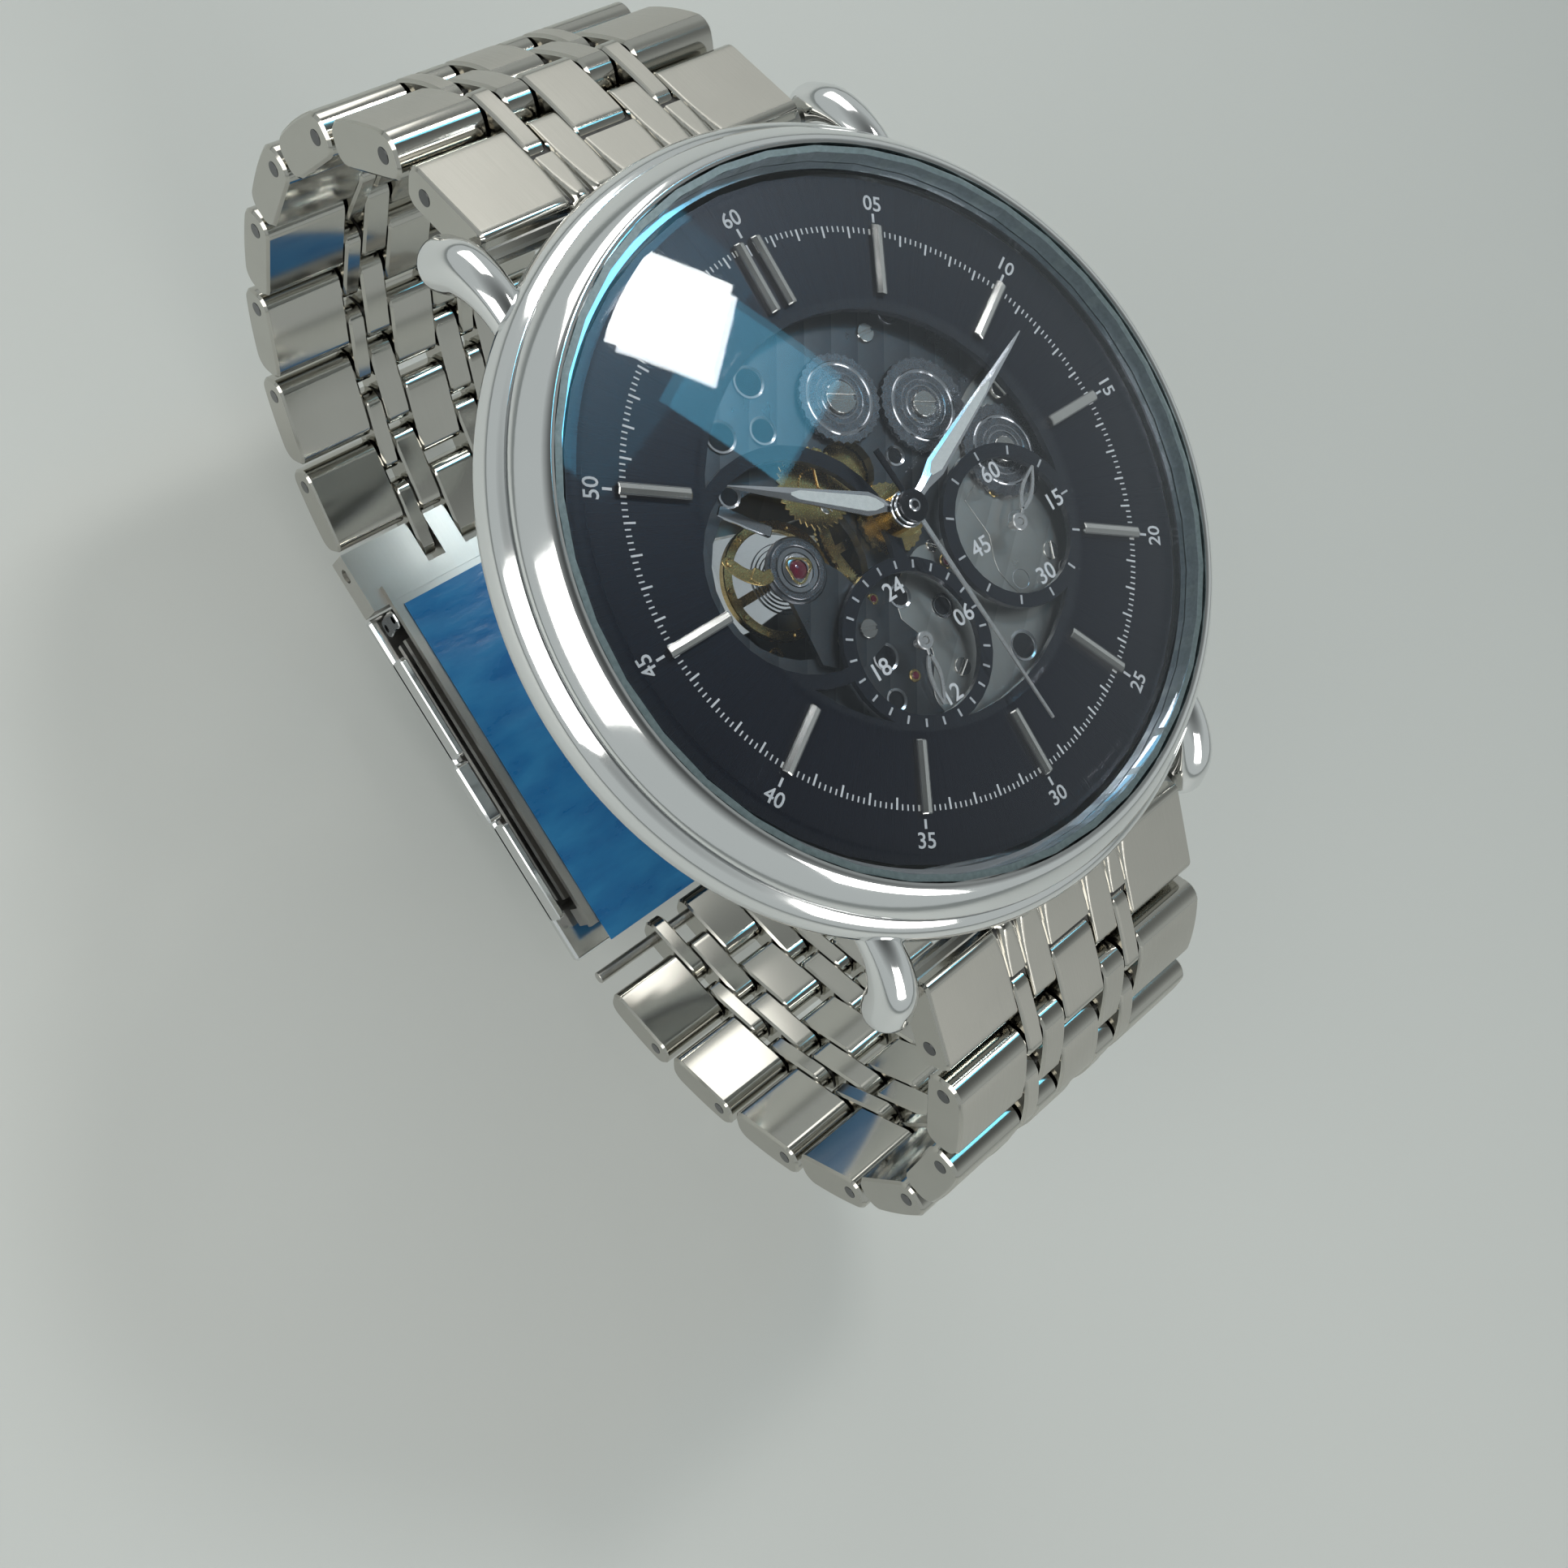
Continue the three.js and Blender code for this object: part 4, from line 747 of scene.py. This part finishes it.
class WATCH_OT_movement(bpy.types.Operator):
    """Finishes of the movement, with its screws, jewels, balance and hairspring"""

    bl_idname = "watch.movement"
    bl_label = "Movement"

    def execute(self, context):
        finishes = {
            "dark": ("main_plate", "balance_cock"),
            "nickel": ("movement_holder", "barrel_bridge", "train_bridge", "rotor"),
            "gilt": ("barrel", "centre_wheel", "third_wheel", "fourth_wheel", "hour_wheel"),
            "wheel": ("ratchet_wheel", "idler_wheel", "crown_wheel", "escape_wheel",
                      "pallet_fork", "winding_pinion"),
            "blade": ("spring_bar_twelve", "spring_bar_six"),
        }
        for finish, nodes in finishes.items():
            for node in nodes:
                dress(node, finish)
        plate = node_box("main_plate")[1][2]
        self.plates(plate)
        self.holes(plate)
        self.winding_rings()
        self.gilt_works(plate)
        self.fittings(plate)
        self.balance()
        return {"FINISHED"}

    def plates(self, z):
        """The bed round the balance with its studs, and a pale cover plate at lower right."""
        plan = curve([(-1.9, -3.2), (0.6, -2.0), (2.6, -2.2), (4.6, 0.2), (7.4, 3.0), (10.6, 4.2),
                      (12.4, 2.2), (12.7, -2.2), (11.0, -6.4), (7.2, -10.4), (2.2, -12.4),
                      (-1.4, -12.3), (-2.9, -9.2), (-1.6, -6.8), (-2.3, -4.6)], 120)
        step = curve([(4.9, -1.2), (7.6, -0.4), (9.6, -1.6), (9.4, -4.4), (8.0, -5.6), (7.8, -7.4),
                      (5.6, -7.6), (4.6, -5.4), (5.2, -3.4)], 80)
        low = node_box("train_bridge")[0][2]
        bed = curve([(-11.6, -0.6), (-8.4, -1.3), (-5.6, -1.4), (-5.2, -3.6), (-6.4, -6.6),
                     (-8.3, -9.6), (-11.0, -7.0), (-12.5, -3.6), (-11.6, -0.6)], 90)[:-1]
        piece("balance_bed", [prism(bed, low + 0.05, low + 0.6, 0.08)]
              + screw(-9.4, -6.6, low + 0.6, 0.5, 15) + screw(-10.9, -3.2, low + 0.6, 0.4, 60),
              "case", "dark")
        studs = [moved(hub(0.42, low + 0.58, low + 0.9, 0.2), (x, y, 0))
                 for x, y in ((-8.0, -3.0), (-7.2, -6.0), (-9.6, -4.8))]
        piece("bed_studs", studs, "case", "gilt")
        piece("cover_plate", [prism(plan, z + 0.005, z + 0.05, 0.02),
                              prism(step, z + 0.045, z + 0.085, 0.02)], "case", "nickel")

    def holes(self, z):
        """A chamfered rim round each hole and a dark disc of painted shade for its depth."""
        holes = [(-6.2, 7.6, 0.7), (-3.2, 9.3, 0.7), (-3.9, 6.9, 0.6), (-7.5, 4.9, 0.45),
                 (-4.3, -5.8, 0.6), (-1.7, -3.6, 0.5), (3.6, -9.3, 0.7), (6.6, 9.2, 0.5),
                 (7.3, -3.6, 0.45), (9.2, -2.4, 0.32), (0.3, -5.2, 0.5), (5.6, -6.3, 0.4),
                 (-5.0, -7.9, 0.45), (2.4, 2.6, 0.4), (8.8, -7.3, 0.5)]
        rims, hole_shades = [], []
        for x, y, r in holes:
            ring = [(r - 0.02, z), (r + 0.16, z), (r + 0.15, z + 0.095), (r + 0.02, z + 0.06)]
            rims.append(lathe(ring, 36, (x, y)))
            # dark disc in each hole: painted shade standing in for the hole's depth
            hole_shades.append(lathe([(0, z - 0.02), (r - 0.02, z - 0.02), (r - 0.02, z + 0.052),
                                (0, z + 0.052)], 30, (x, y)))
        piece("hole_rims", rims, "case", "hand")
        piece("hole_painted_shade", hole_shades, "case", "ebony")

    def winding_rings(self):
        """Three turned rings on each winding wheel."""
        for body in ("ratchet", "idler", "crown_wheel"):
            node = body if body.endswith("wheel") else body + "_wheel"
            top, at = node_box(node)[1][2], JOINTS[body + "_turn"][:2]
            rings = [lathe([(r, top - 0.02), (r + w, top - 0.02), (r + w * 0.7, top + 0.05),
                            (r + w * 0.3, top + 0.05)], 64, at)
                     for r, w in ((0.95, 0.16), (1.3, 0.1), (1.72, 0.26))]
            piece(node + "_rings", rings, body, "hand")

    def gilt_works(self, z):
        """Two toothed wheels of radius r - d |((n a / 2 pi) mod 1) - 1/2|, and a bridge."""
        teeth, depth = 36, 0.42
        t = np.linspace(0, TAU, teeth * 8, endpoint=False)
        saw = np.abs((teeth * t / TAU) % 1 - 0.5)
        shapes = []
        for x, y, r in ((-2.95, 3.25, 2.15), (-4.2, -1.6, 0.95)):
            rim = np.stack([(r - depth * saw) * np.cos(t), (r - depth * saw) * np.sin(t)], -1)
            for level, share in ((z + 0.01, 1.0), (z + 0.08, 0.45)):
                shapes.append(moved(prism(rim * share, level, level + 0.08, 0.015), (x, y, 0)))
        bridge = prism(round_rect(-0.35, 0.35, -1.1, 1.1, 0.3), z + 0.16, z + 0.26, 0.04)
        shapes.append(spun(bridge, 20, (-2.2, 3.9)))
        piece("gilt_works", shapes, "case", "gilt")

    def fittings(self, plate):
        """Screws, jewels and their gilt settings."""
        cock = node_box("balance_cock")[1][2]
        heads = [(4.6, 8.8, 0.5), (-6.9, 9.2, 0.45), (10.6, 2.9, 0.5), (8.3, -5.9, 0.5),
                 (-0.5, -8.4, 0.5), (-9.6, -6.3, 0.45), (1.6, -2.3, 0.34), (-2.9, 2.1, 0.36)]
        parts = [p for k, (x, y, r) in enumerate(heads) for p in screw(x, y, plate, r, 37 * k)]
        bx, by = BALANCE
        parts += screw(bx + 1.9, by - 4.3, cock, 0.5, 20)
        for joint, r in (("ratchet_turn", 0.85), ("idler_turn", 0.7), ("crown_wheel_turn", 0.7)):
            x, y = JOINTS[joint][:2]
            parts += screw(x, y, node_box("ratchet_wheel")[1][2] + 0.03, r, 25)
        piece("movement_screws", parts, "case", "marker")
        plate += 0.05
        stones = [(1.95, -3.37, plate, 0.42), (-3.2, -3.0, plate, 0.3),
                  (6.9, -1.6, plate + 0.03, 0.34), (-3.3, -7.4, plate, 0.34)]
        rubies, chatons = [], []
        for x, y, z, r in stones:
            rubies.append(moved(hub(r * 0.62, z - 0.1, z + 0.1), (x, y, 0)))
            chatons.append(moved(hub(r, z - 0.1, z + 0.06, r * 0.6), (x, y, 0)))
        piece("train_jewels", rubies, "case", "ruby")
        piece("jewel_settings", chatons, "case", "gilt")

    def balance(self):
        """Rim, two arms, staff and a ring of timing screws."""
        x, y = BALANCE
        low, high = node_box("balance_wheel")
        r, screws = (high[0] - low[0]) / 2, 12
        z0, z1 = JOINTS["balance_swing"][2] - 0.2, JOINTS["balance_swing"][2] + 0.3
        rim = lathe([(r - 0.5, z0), (r - 0.05, z0), (r, z0 + 0.05), (r, z1 - 0.05), (r - 0.05, z1),
                     (r - 0.45, z1), (r - 0.5, z1 - 0.05)], 96)
        arms = prism(round_rect(0.4 - r, r - 0.4, -0.25, 0.25, 0.05), z0 + 0.1, z1 - 0.1, 0.03)
        staff = lathe([(0, low[2]), (0.16, low[2] + 0.05), (0.16, z0 - 0.1), (0.5, z0), (0.5, z1),
                       (0.16, z1 + 0.1), (0.16, high[2]), (0, high[2])], 32)
        parts = [rim, arms, staff]
        for k in range(screws):
            a = TAU * (k + 0.5) / screws
            at = ((r - 0.25) * np.cos(a), (r - 0.25) * np.sin(a), 0)
            parts.append(moved(hub(0.17, z1 - 0.02, z1 + 0.1), at))
        piece("balance_rim", [moved(p, (x, y, 0)) for p in parts], "balance", "gilt",
              ["balance_wheel"])
        self.spring(x, y)
        self.shock_parts(x, y)
        self.regulator(x, y)

    def spring(self, x, y):
        """Flat ribbon along the spiral r = a + b t, of seven turns."""
        t = np.linspace(0, 7 * TAU, 420)
        radius = 0.42 + 1.5 * t / t[-1]
        z = node_box("hairspring")[0][2]
        ring = []
        for dr, dz in ((-0.02, 0), (0.02, 0), (0.02, 0.15), (-0.02, 0.15)):
            ring.append(np.stack([x + (radius + dr) * np.cos(t), y + (radius + dr) * np.sin(t),
                                  0 * t + z + dz], -1))
        piece("spiral_spring", [tube(np.stack(ring, 1))], "case", "wheel",
              ["hairspring"])

    def shock_parts(self, x, y):
        """Jewel, its setting and lyre spring of radius a + b cos(3 t), and the cock's boss."""
        z = node_box("balance_jewel")[0][2]
        setting = lathe([(0.5, z), (0.84, z), (0.84, z + 0.1), (0.72, z + 0.17),
                         (0.5, z + 0.17)], 48)
        cap = lathe([(0, z), (0.48, z), (0.48, z + 0.12), (0.36, z + 0.2), (0, z + 0.25)], 40)
        t = np.linspace(0, TAU, 160, endpoint=False)
        spread = 0.62 + 0.1 * np.cos(3 * t)
        lyre = np.stack([
            np.stack([spread + dr, 0 * t + z + dz], -1) for dr, dz in
            ((-0.05, 0.16), (0.05, 0.16), (0.05, 0.24), (-0.05, 0.24))], 1)
        spring = np.stack([lyre[..., 0] * np.cos(t)[:, None], lyre[..., 0] * np.sin(t)[:, None],
                           lyre[..., 1]], -1)
        piece("shock_setting", [moved(setting, (x, y, 0))], "case", "hand")
        piece("shock_spring", [moved(tube(spring, wrap=True), (x, y, 0))], "case",
              "gilt")
        top = node_box("balance_cock")[1][2]
        boss = lathe([(1.0, top - 0.1), (1.72, top - 0.1), (1.72, top - 0.02), (1.62, top + 0.06),
                      (1.0, top + 0.06)], 72, (x, y))
        piece("cock_boss", [boss], "case", "dark")
        collar = [(0.9, top), (1.12, top), (1.12, top + 0.12), (0.9, top + 0.12)]
        bar = prism(round_rect(-0.3, 0.3, -1.5, 1.5, 0.12), top - 0.55, top - 0.35, 0.05)
        piece("cock_collar", [lathe(collar, 60, (x, y)), spun(bar, -42, (x - 0.9, y + 3.3))],
              "case", "hand")
        piece("shock_jewel", [moved(cap, (x, y, 0))], "case", "ruby",
              ["balance_jewel"])

    def regulator(self, x, y):
        """Dark ring round the setting, a gilt pointer and the block that holds the spring's end."""
        low, high = node_box("regulator")
        z0, z1 = low[2], high[2]
        ring = lathe([(1.2, z0), (1.5, z0), (1.5, z1 - 0.03), (1.46, z1), (1.24, z1),
                      (1.2, z1 - 0.03)], 64, (x, y))
        piece("regulator_ring", [ring], "case", "wheel")
        arm = curve([(-1.35, 0.75), (-1.9, 0.85), (-2.5, 1.35), (-3.0, 2.15), (-3.35, 2.3),
                     (-3.5, 2.0), (-3.2, 1.2), (-2.6, 0.5), (-2.0, 0.15), (-1.42, 0.2),
                     (-1.35, 0.75)], 60)[:-1]
        block = prism(round_rect(-0.35, 0.35, -0.3, 0.3, 0.1), z0 - 0.25, z1 + 0.1, 0.05)
        stud = hub(0.2, z0, z1 + 0.12)
        piece("regulator_arm", [moved(prism(arm, z0, z1, 0.03), (x, y, 0)),
                                spun(block, -35, (x - 2.2, y + 0.75)),
                                moved(stud, (x - 3.15, y + 1.95, 0))], "case", "gilt",
              ["regulator"])


# ------------------------------------------------------------------ bracelet
COLUMNS = ((-1.7, 1.7, False), (1.7, 3.6, True), (3.6, 4.9, False), (4.9, LINK_EDGE, True))


def side_outline(y0, y1, thick, radii, count):
    """Rounded side of a block, with more points along its flat top so that it can bend."""
    corner = 7
    outline = round_rect(y0, y1, -thick / 2, thick / 2, radii, corner)
    top = np.linspace(y1 - radii[1], y0 + radii[0], count)[1:-1]
    top = np.stack([top, top * 0 + thick / 2], -1)
    return np.vstack([outline[:corner], top, outline[corner:]])


def link(x0, x1, y0, y1, thick, radii, bevel, arch=0.12):
    """One column block: a rounded side outline carried across the column, its top raised by
    arch (4 s (1 - s) - 1/2) along its length, with its polish mask."""
    low, high = radii
    gap = 0.05
    section = side_outline(y0, y1, thick, radii, 9)
    part = prism(section, x0 + gap, x1 - gap, bevel, "x")
    y, z = part[0][:, 1], part[0][:, 2]
    share = np.clip((y - y0) / (y1 - y0), 0, 1)
    upper = np.clip(z / (thick / 2), 0, 1)
    flat = (y > y0 + low - 0.02) & (y < y1 - high + 0.02) & (z > thick / 2 - 0.01)
    part[0][:, 2] += upper * arch * (4 * share * (1 - share) - 0.5)
    return part, np.where(flat, 0.0, 1.0)


def mirrored_columns():
    """Each column as (low x, high x, whether it reaches the row's front), on both sides."""
    for x0, x1, outer in COLUMNS:
        yield x0, x1, outer
        if x0 > 0:
            yield -x1, -x0, outer


def in_place(part, pin, ahead, sign):
    """Local (x, along, out) to the world: pin + x X + along u + out n, n square to u."""
    out = sign * np.array([0, -ahead[2], ahead[1]])
    p = part[0]
    world = pin + np.outer(p[:, 0], [1, 0, 0]) + np.outer(p[:, 1], ahead) + np.outer(p[:, 2], out)
    return outward(world, part[1])


class WATCH_OT_bracelet(bpy.types.Operator):
    """End links and fourteen rows of seven columns"""

    bl_idname = "watch.bracelet"
    bl_label = "Bracelet"

    def execute(self, context):
        sizes = context.scene.watch
        for side in ("twelve", "six"):
            sign = 1 if side == "twelve" else -1
            names = [f"end_link_{side}_hinge"] + [f"row_{side}_{k}_hinge" for k in range(1, 8)]
            pins = [JOINTS[n] for n in names]
            for k, pin in enumerate(pins):
                body = names[k][:-6]
                if k < 7:
                    ahead = pins[k + 1] - pin
                elif side == "twelve":
                    ahead = JOINTS["inner_blade_hinge"] - pin
                else:
                    ahead = last_direction(pin)
                ahead /= np.linalg.norm(ahead)
                blocks = self.end_link(sizes) if k == 0 else self.row(sizes)
                self.lay(body, blocks, pin, ahead, sign, k == 0, sizes.thickness)
        return {"FINISHED"}

    def end_link(self, sizes):
        """A slab of one side outline whose top is lowered at each column border k by
        d exp(-((x - k) / w)^2), with w and d growing towards the front edge, and its fingers."""
        made = []
        thick = sizes.thickness
        borders = np.array([-4.9, -3.6, -1.7, 1.7, 3.6, 4.9])
        near = (borders[:, None] + np.linspace(-0.5, 0.5, 21)).ravel()
        x = np.unique(np.round(np.concatenate([np.linspace(-10.3, 10.3, 30), near]), 3))
        x = np.concatenate([[-10.45, -10.4], x, [10.4, 10.45]])
        side = side_outline(-0.5, 5.65, thick, (0.4, 0.85), 26)
        for x0, x1, outer in mirrored_columns():
            if not outer:
                made.append(link(x0, x1, 3.2, 8.85, thick, (0.75, 0.95), sizes.groove))
        rings = []
        for at in x:
            back = max(abs(at) - 10.3, 0.0)
            ring = inset(side, back * 1.1) if back else side.copy()
            low = 1 - np.clip((ring[:, 0] + 0.5) / 3.4, 0, 1)
            wide, deep = 0.07 + 0.2 * low**2, 0.16 + 0.34 * low**2
            dip = (deep[:, None] * np.exp(-(((at - borders) / wide[:, None]) ** 2))).sum(1)
            finger = np.abs(at) < 4.9 and not 1.7 < np.abs(at) < 3.6
            upper = ring[:, 1] > 0.2
            drop = dip * upper + 0.9 * finger * (ring[:, 0] > 3.0) * upper
            rings.append(np.stack([ring[:, 0] * 0 + at, ring[:, 0], ring[:, 1] - drop], -1))
        slab = tube(np.array(rings))
        y, z = slab[0][:, 1], slab[0][:, 2]
        flat = (y > -0.05) & (z > thick / 2 - 0.04)
        return made + [(slab, np.where(flat, 0.0, 1.0))]

    def row(self, sizes):
        """Seven blocks, the outer kind behind the pin and the inner kind ahead of it."""
        made = []
        for x0, x1, outer in mirrored_columns():
            span = (-1.25, 4.95) if outer else (2.1, 8.05)
            made.append(link(x0, x1, *span, sizes.thickness, (0.95, 0.95), sizes.groove,
                             arch=0.26 if outer else 0.4))
        return made

    def lay(self, body, blocks, pin, ahead, sign, first, thick):
        """Puts a row's blocks in place, with a dark core of painted shade seen through the gaps
        between the blocks, its pin and the pin's ends.
        """
        parts = [in_place(part, pin, ahead, sign) for part, _ in blocks]
        polish = np.concatenate([mask for _, mask in blocks])
        piece(body + "_columns", parts, body, "satin", [body],
              polish=polish)
        # dark block inside the row: painted shade seen through the gaps between the columns
        reach = (-0.3, 5.2) if first else (2.4, 4.6)
        core = prism(round_rect(*reach, -thick * 0.36, thick * 0.36, 0.2), -10.1, 10.1, 0.1, "x")
        rod = circle(END_LINK_REACH if first else ROW_PITCH, 0, PIN_RADIUS, 20)
        rod = prism(rod, -10.2, 10.2, 0.05, "x")
        dot = circle(4.2 if first else 0.0, 0, PIN_RADIUS, 20)
        dots = [prism(dot, x, x + 0.1, 0.02, "x") for x in (-10.48, 10.38)]
        for name, shapes, finish in (("_core", [core], "core"), ("_pin", [rod], "blade"),
                                     ("_pin_ends", dots, "ebony")):
            piece(body + name, [in_place(p, pin, ahead, sign) for p in shapes], body, finish)


def last_direction(pin):
    """Direction of the row beside the cover: from its pin to the far pin, level with the clasp."""
    blade = JOINTS["inner_blade_hinge"]
    rise = blade[2] - pin[2]
    return np.array([0, np.sqrt(ROW_PITCH**2 - rise**2), rise])


# ------------------------------------------------------------------ clasp
class WATCH_OT_clasp(bpy.types.Operator):
    """Folding clasp: cover with flanges, push buttons, two blades and the film"""

    bl_idname = "watch.clasp"
    bl_label = "Clasp"

    def execute(self, context):
        low, high = node_box("clasp_cover")
        x = high[0]
        sheet = prism(round_rect(low[1], high[1], low[2], low[2] + 0.9, 0.35), -x, x, 0.18, "x")
        button = node_box("clasp_button_right")
        parts = [sheet]
        for side in (1, -1):
            inner, outer = sorted((side * (x - 0.5), side * x))
            for y0, y1 in ((low[1] + 3.5, button[0][1] - 0.3), (button[1][1] + 0.3, high[1] - 3.5)):
                wall = round_rect(y0, y1, low[2] + 0.4, high[2] - 0.15, 0.3)
                parts.append(prism(wall, inner, outer, 0.08, "x"))
            ear = round_rect(high[1] - 1.6, high[1] - 0.2, low[2] + 0.5, low[2] + 2.5, 0.5)
            parts.append(prism(ear, *sorted((side * 6.3, side * 9.2)), 0.08, "x"))
        rod = circle(*JOINTS["cover_lift"][1:], 0.35, 24)
        parts.append(prism(rod, -9.2, 9.2, 0.05, "x"))
        piece("cover_shell", parts, "cover", "polished",
              ["clasp_cover"])
        for side in ("right", "left"):
            a, b = node_box(f"clasp_button_{side}")
            knob = prism(round_rect(a[1], b[1], a[2], b[2], 0.4), a[0], b[0], 0.15, "x")
            piece(f"button_{side}", [knob], f"button_{side}", "polished",
                  [f"clasp_button_{side}"])
        dress("clasp_outer_blade", "blade")
        dress("clasp_inner_blade", "blade")
        self.film()
        return {"FINISHED"}

    def film(self):
        """Thin sheet whose height ripples as h sin(a y + sin(b x) / 2) cos(c x)."""
        low, high = node_box("protective_film")
        thick = 0.06
        u, v = np.meshgrid(np.linspace(low[0], high[0], 40), np.linspace(low[1], high[1], 60))
        ripple = 0.05 * np.sin(0.9 * v + 0.5 * np.sin(0.4 * u)) * np.cos(0.5 * u)
        top = np.stack([u, v, high[2] - thick + ripple], -1)
        base = top - [0, 0, thick]
        n, m = u.shape
        points = np.vstack([top.reshape(-1, 3), base.reshape(-1, 3)])
        faces = grid_faces(n, m, wrap_cols=False)
        under = [[k + n * m for k in f[::-1]] for f in faces]
        rim = np.concatenate([np.arange(m), np.arange(2, n + 1) * m - 1,
                              np.arange(n * m - 2, (n - 1) * m - 1, -1),
                              np.arange(n - 2, 0, -1) * m])
        after = np.roll(rim, -1)
        sides = np.stack([after, rim, rim + n * m, after + n * m], -1).tolist()
        piece("film_sheet", [outward(points, faces + under + sides)], "inner_blade",
              "film", ["protective_film"])


# ------------------------------------------------------------------ stage
class WATCH_OT_stage(bpy.types.Operator):
    """Pale floor, soft studio lights and the camera"""

    bl_idname = "watch.stage"
    bl_label = "Stage"

    def execute(self, context):
        scene = context.scene
        low = np.array(CAD_BOX[0]) / MM
        look = Look("studio_floor", (0.62, 0.645, 0.63), 0.6, 0.0)
        look.tint(look.noise((0.01, 0.01, 0.01), 3), (0.58, 0.605, 0.59))
        half, clearance = 900, 6
        corners = np.array([(-1, -1, 0), (1, -1, 0), (1, 1, 0), (-1, 1, 0)]) * half
        mesh = bpy.data.meshes.new("floor")
        mesh.from_pydata((corners + [0, 0, low[2] - clearance]) * MM, [], [(0, 1, 2, 3)])
        mesh.materials.append(look.material)
        floor = bpy.data.objects.new("floor", mesh)
        scene.collection.objects.link(floor)
        self.lights(scene)
        self.camera(scene)
        return {"FINISHED"}

    def lights(self, scene):
        """A world whose brightness falls towards the zenith, and five lamps aimed at the origin."""
        world = bpy.data.worlds.new("studio")
        world.use_nodes = True
        tree = world.node_tree
        sky = tree.nodes["Background"]
        sky.inputs["Color"].default_value = (0.60, 0.64, 0.63, 1)
        where = tree.nodes.new("ShaderNodeTexCoord")
        split = tree.nodes.new("ShaderNodeSeparateXYZ")
        fall = tree.nodes.new("ShaderNodeMapRange")
        for key, value in (("From Min", 0.45), ("From Max", 0.97), ("To Min", 0.8),
                           ("To Max", 0.13)):
            fall.inputs[key].default_value = value
        tree.links.new(where.outputs["Generated"], split.inputs[0])
        tree.links.new(split.outputs["Z"], fall.inputs["Value"])
        tree.links.new(fall.outputs[0], sky.inputs["Strength"])
        scene.world = world
        pale, blue = (1, 0.98, 0.94), (0.12, 0.55, 0.8)
        lamps = (("window", (127, 112, 259), 46, 0.2, pale),
                 ("sky", (140, 70, 262), 60, 0.04, blue),
                 ("left", (-300, 60, 170), 240, 0.5, pale),
                 ("back", (60, 330, 160), 200, 0.28, pale),
                 ("front", (-40, -330, 190), 200, 0.45, pale))
        for name, at, size, power, colour in lamps:
            lamp = bpy.data.lights.new(name, "AREA")
            lamp.size, lamp.energy, lamp.color = size * MM, power, colour
            holder = bpy.data.objects.new(name, lamp)
            back = np.array(at, float) / np.linalg.norm(at)
            right = np.cross([0, 0, 1], back)
            right /= np.linalg.norm(right)
            holder.matrix_world = placed(at, right, np.cross(back, right), back)
            scene.collection.objects.link(holder)

    def camera(self, scene):
        """Camera above and to the left of the dial, given by its three axes."""
        view = bpy.data.cameras.new("camera")
        view.sensor_width, view.lens = 36.0, 37.83
        view.clip_start, view.clip_end = 0.005, 10
        holder = bpy.data.objects.new("camera", view)
        right = (0.72606, -0.50600, 0.46562)
        up = (0.49885, 0.85365, 0.14979)
        back = (-0.47327, 0.12352, 0.87222)
        holder.matrix_world = placed((-50.198, 1.548, 67.585 + DIAL_TOP), right, up, back)
        scene.collection.objects.link(holder)
        scene.camera = holder
        scene.view_settings.view_transform = "Standard"


def placed(at, right, up, back):
    """Matrix that sets three axes and a place in millimetres."""
    turn = np.eye(4)
    turn[:3, :3] = np.stack([right, up, back], 1)
    turn[:3, 3] = np.array(at) * MM
    return Matrix(turn.tolist())


# ------------------------------------------------------------------ add-on
class WatchSettings(bpy.types.PropertyGroup):
    """Sizes in millimetres and colours that a user may change"""

    steel: bpy.props.FloatVectorProperty(
        name="Steel", description="Colour of the polished steel", subtype="COLOR", size=3,
        min=0, max=1, default=(0.8, 0.81, 0.815))
    horn_x: bpy.props.FloatProperty(
        name="Horn Offset", description="Horn centre from the middle, mm", default=12.2)
    horn_radius: bpy.props.FloatProperty(
        name="Horn Radius", description="Radius of the round horns, mm", default=1.4, min=0.5)
    crown_flutes: bpy.props.IntProperty(
        name="Crown Flutes", description="Number of grooves round the crown", default=24, min=8)
    track_radius: bpy.props.FloatProperty(
        name="Track Radius", description="Outer radius of the minute track, mm", default=15.1)
    marker_width: bpy.props.FloatProperty(
        name="Marker Width", description="Width of an hour marker, mm", default=0.55, min=0.1)
    thickness: bpy.props.FloatProperty(
        name="Link Thickness", description="Thickness of the bracelet, mm", default=2.5, min=1)
    groove: bpy.props.FloatProperty(
        name="Groove Bevel", description="Bevel along each column, mm", default=0.16, min=0.02)


OPERATORS = (WATCH_OT_case, WATCH_OT_crystal, WATCH_OT_dial, WATCH_OT_hands, WATCH_OT_movement,
             WATCH_OT_bracelet, WATCH_OT_clasp, WATCH_OT_stage)


class WATCH_PT_panel(bpy.types.Panel):
    """Lists the pieces and the settings"""

    bl_idname = "WATCH_PT_panel"
    bl_label = "Watch"
    bl_space_type = "VIEW_3D"
    bl_region_type = "UI"
    bl_category = "Watch"

    def draw(self, context):
        for name in WatchSettings.__annotations__:
            self.layout.prop(context.scene.watch, name)
        for kind in OPERATORS:
            self.layout.operator(kind.bl_idname)


def register():
    for kind in (WatchSettings, *OPERATORS, WATCH_PT_panel):
        bpy.utils.register_class(kind)
    bpy.types.Scene.watch = bpy.props.PointerProperty(type=WatchSettings)


def unregister():
    del bpy.types.Scene.watch
    for kind in (WATCH_PT_panel, *reversed(OPERATORS), WatchSettings):
        bpy.utils.unregister_class(kind)


def main():
    register()
    make_finishes()
    for kind in OPERATORS:
        group, name = kind.bl_idname.split(".")
        getattr(getattr(bpy.ops, group), name)()


if __name__ == "__main__":
    main()
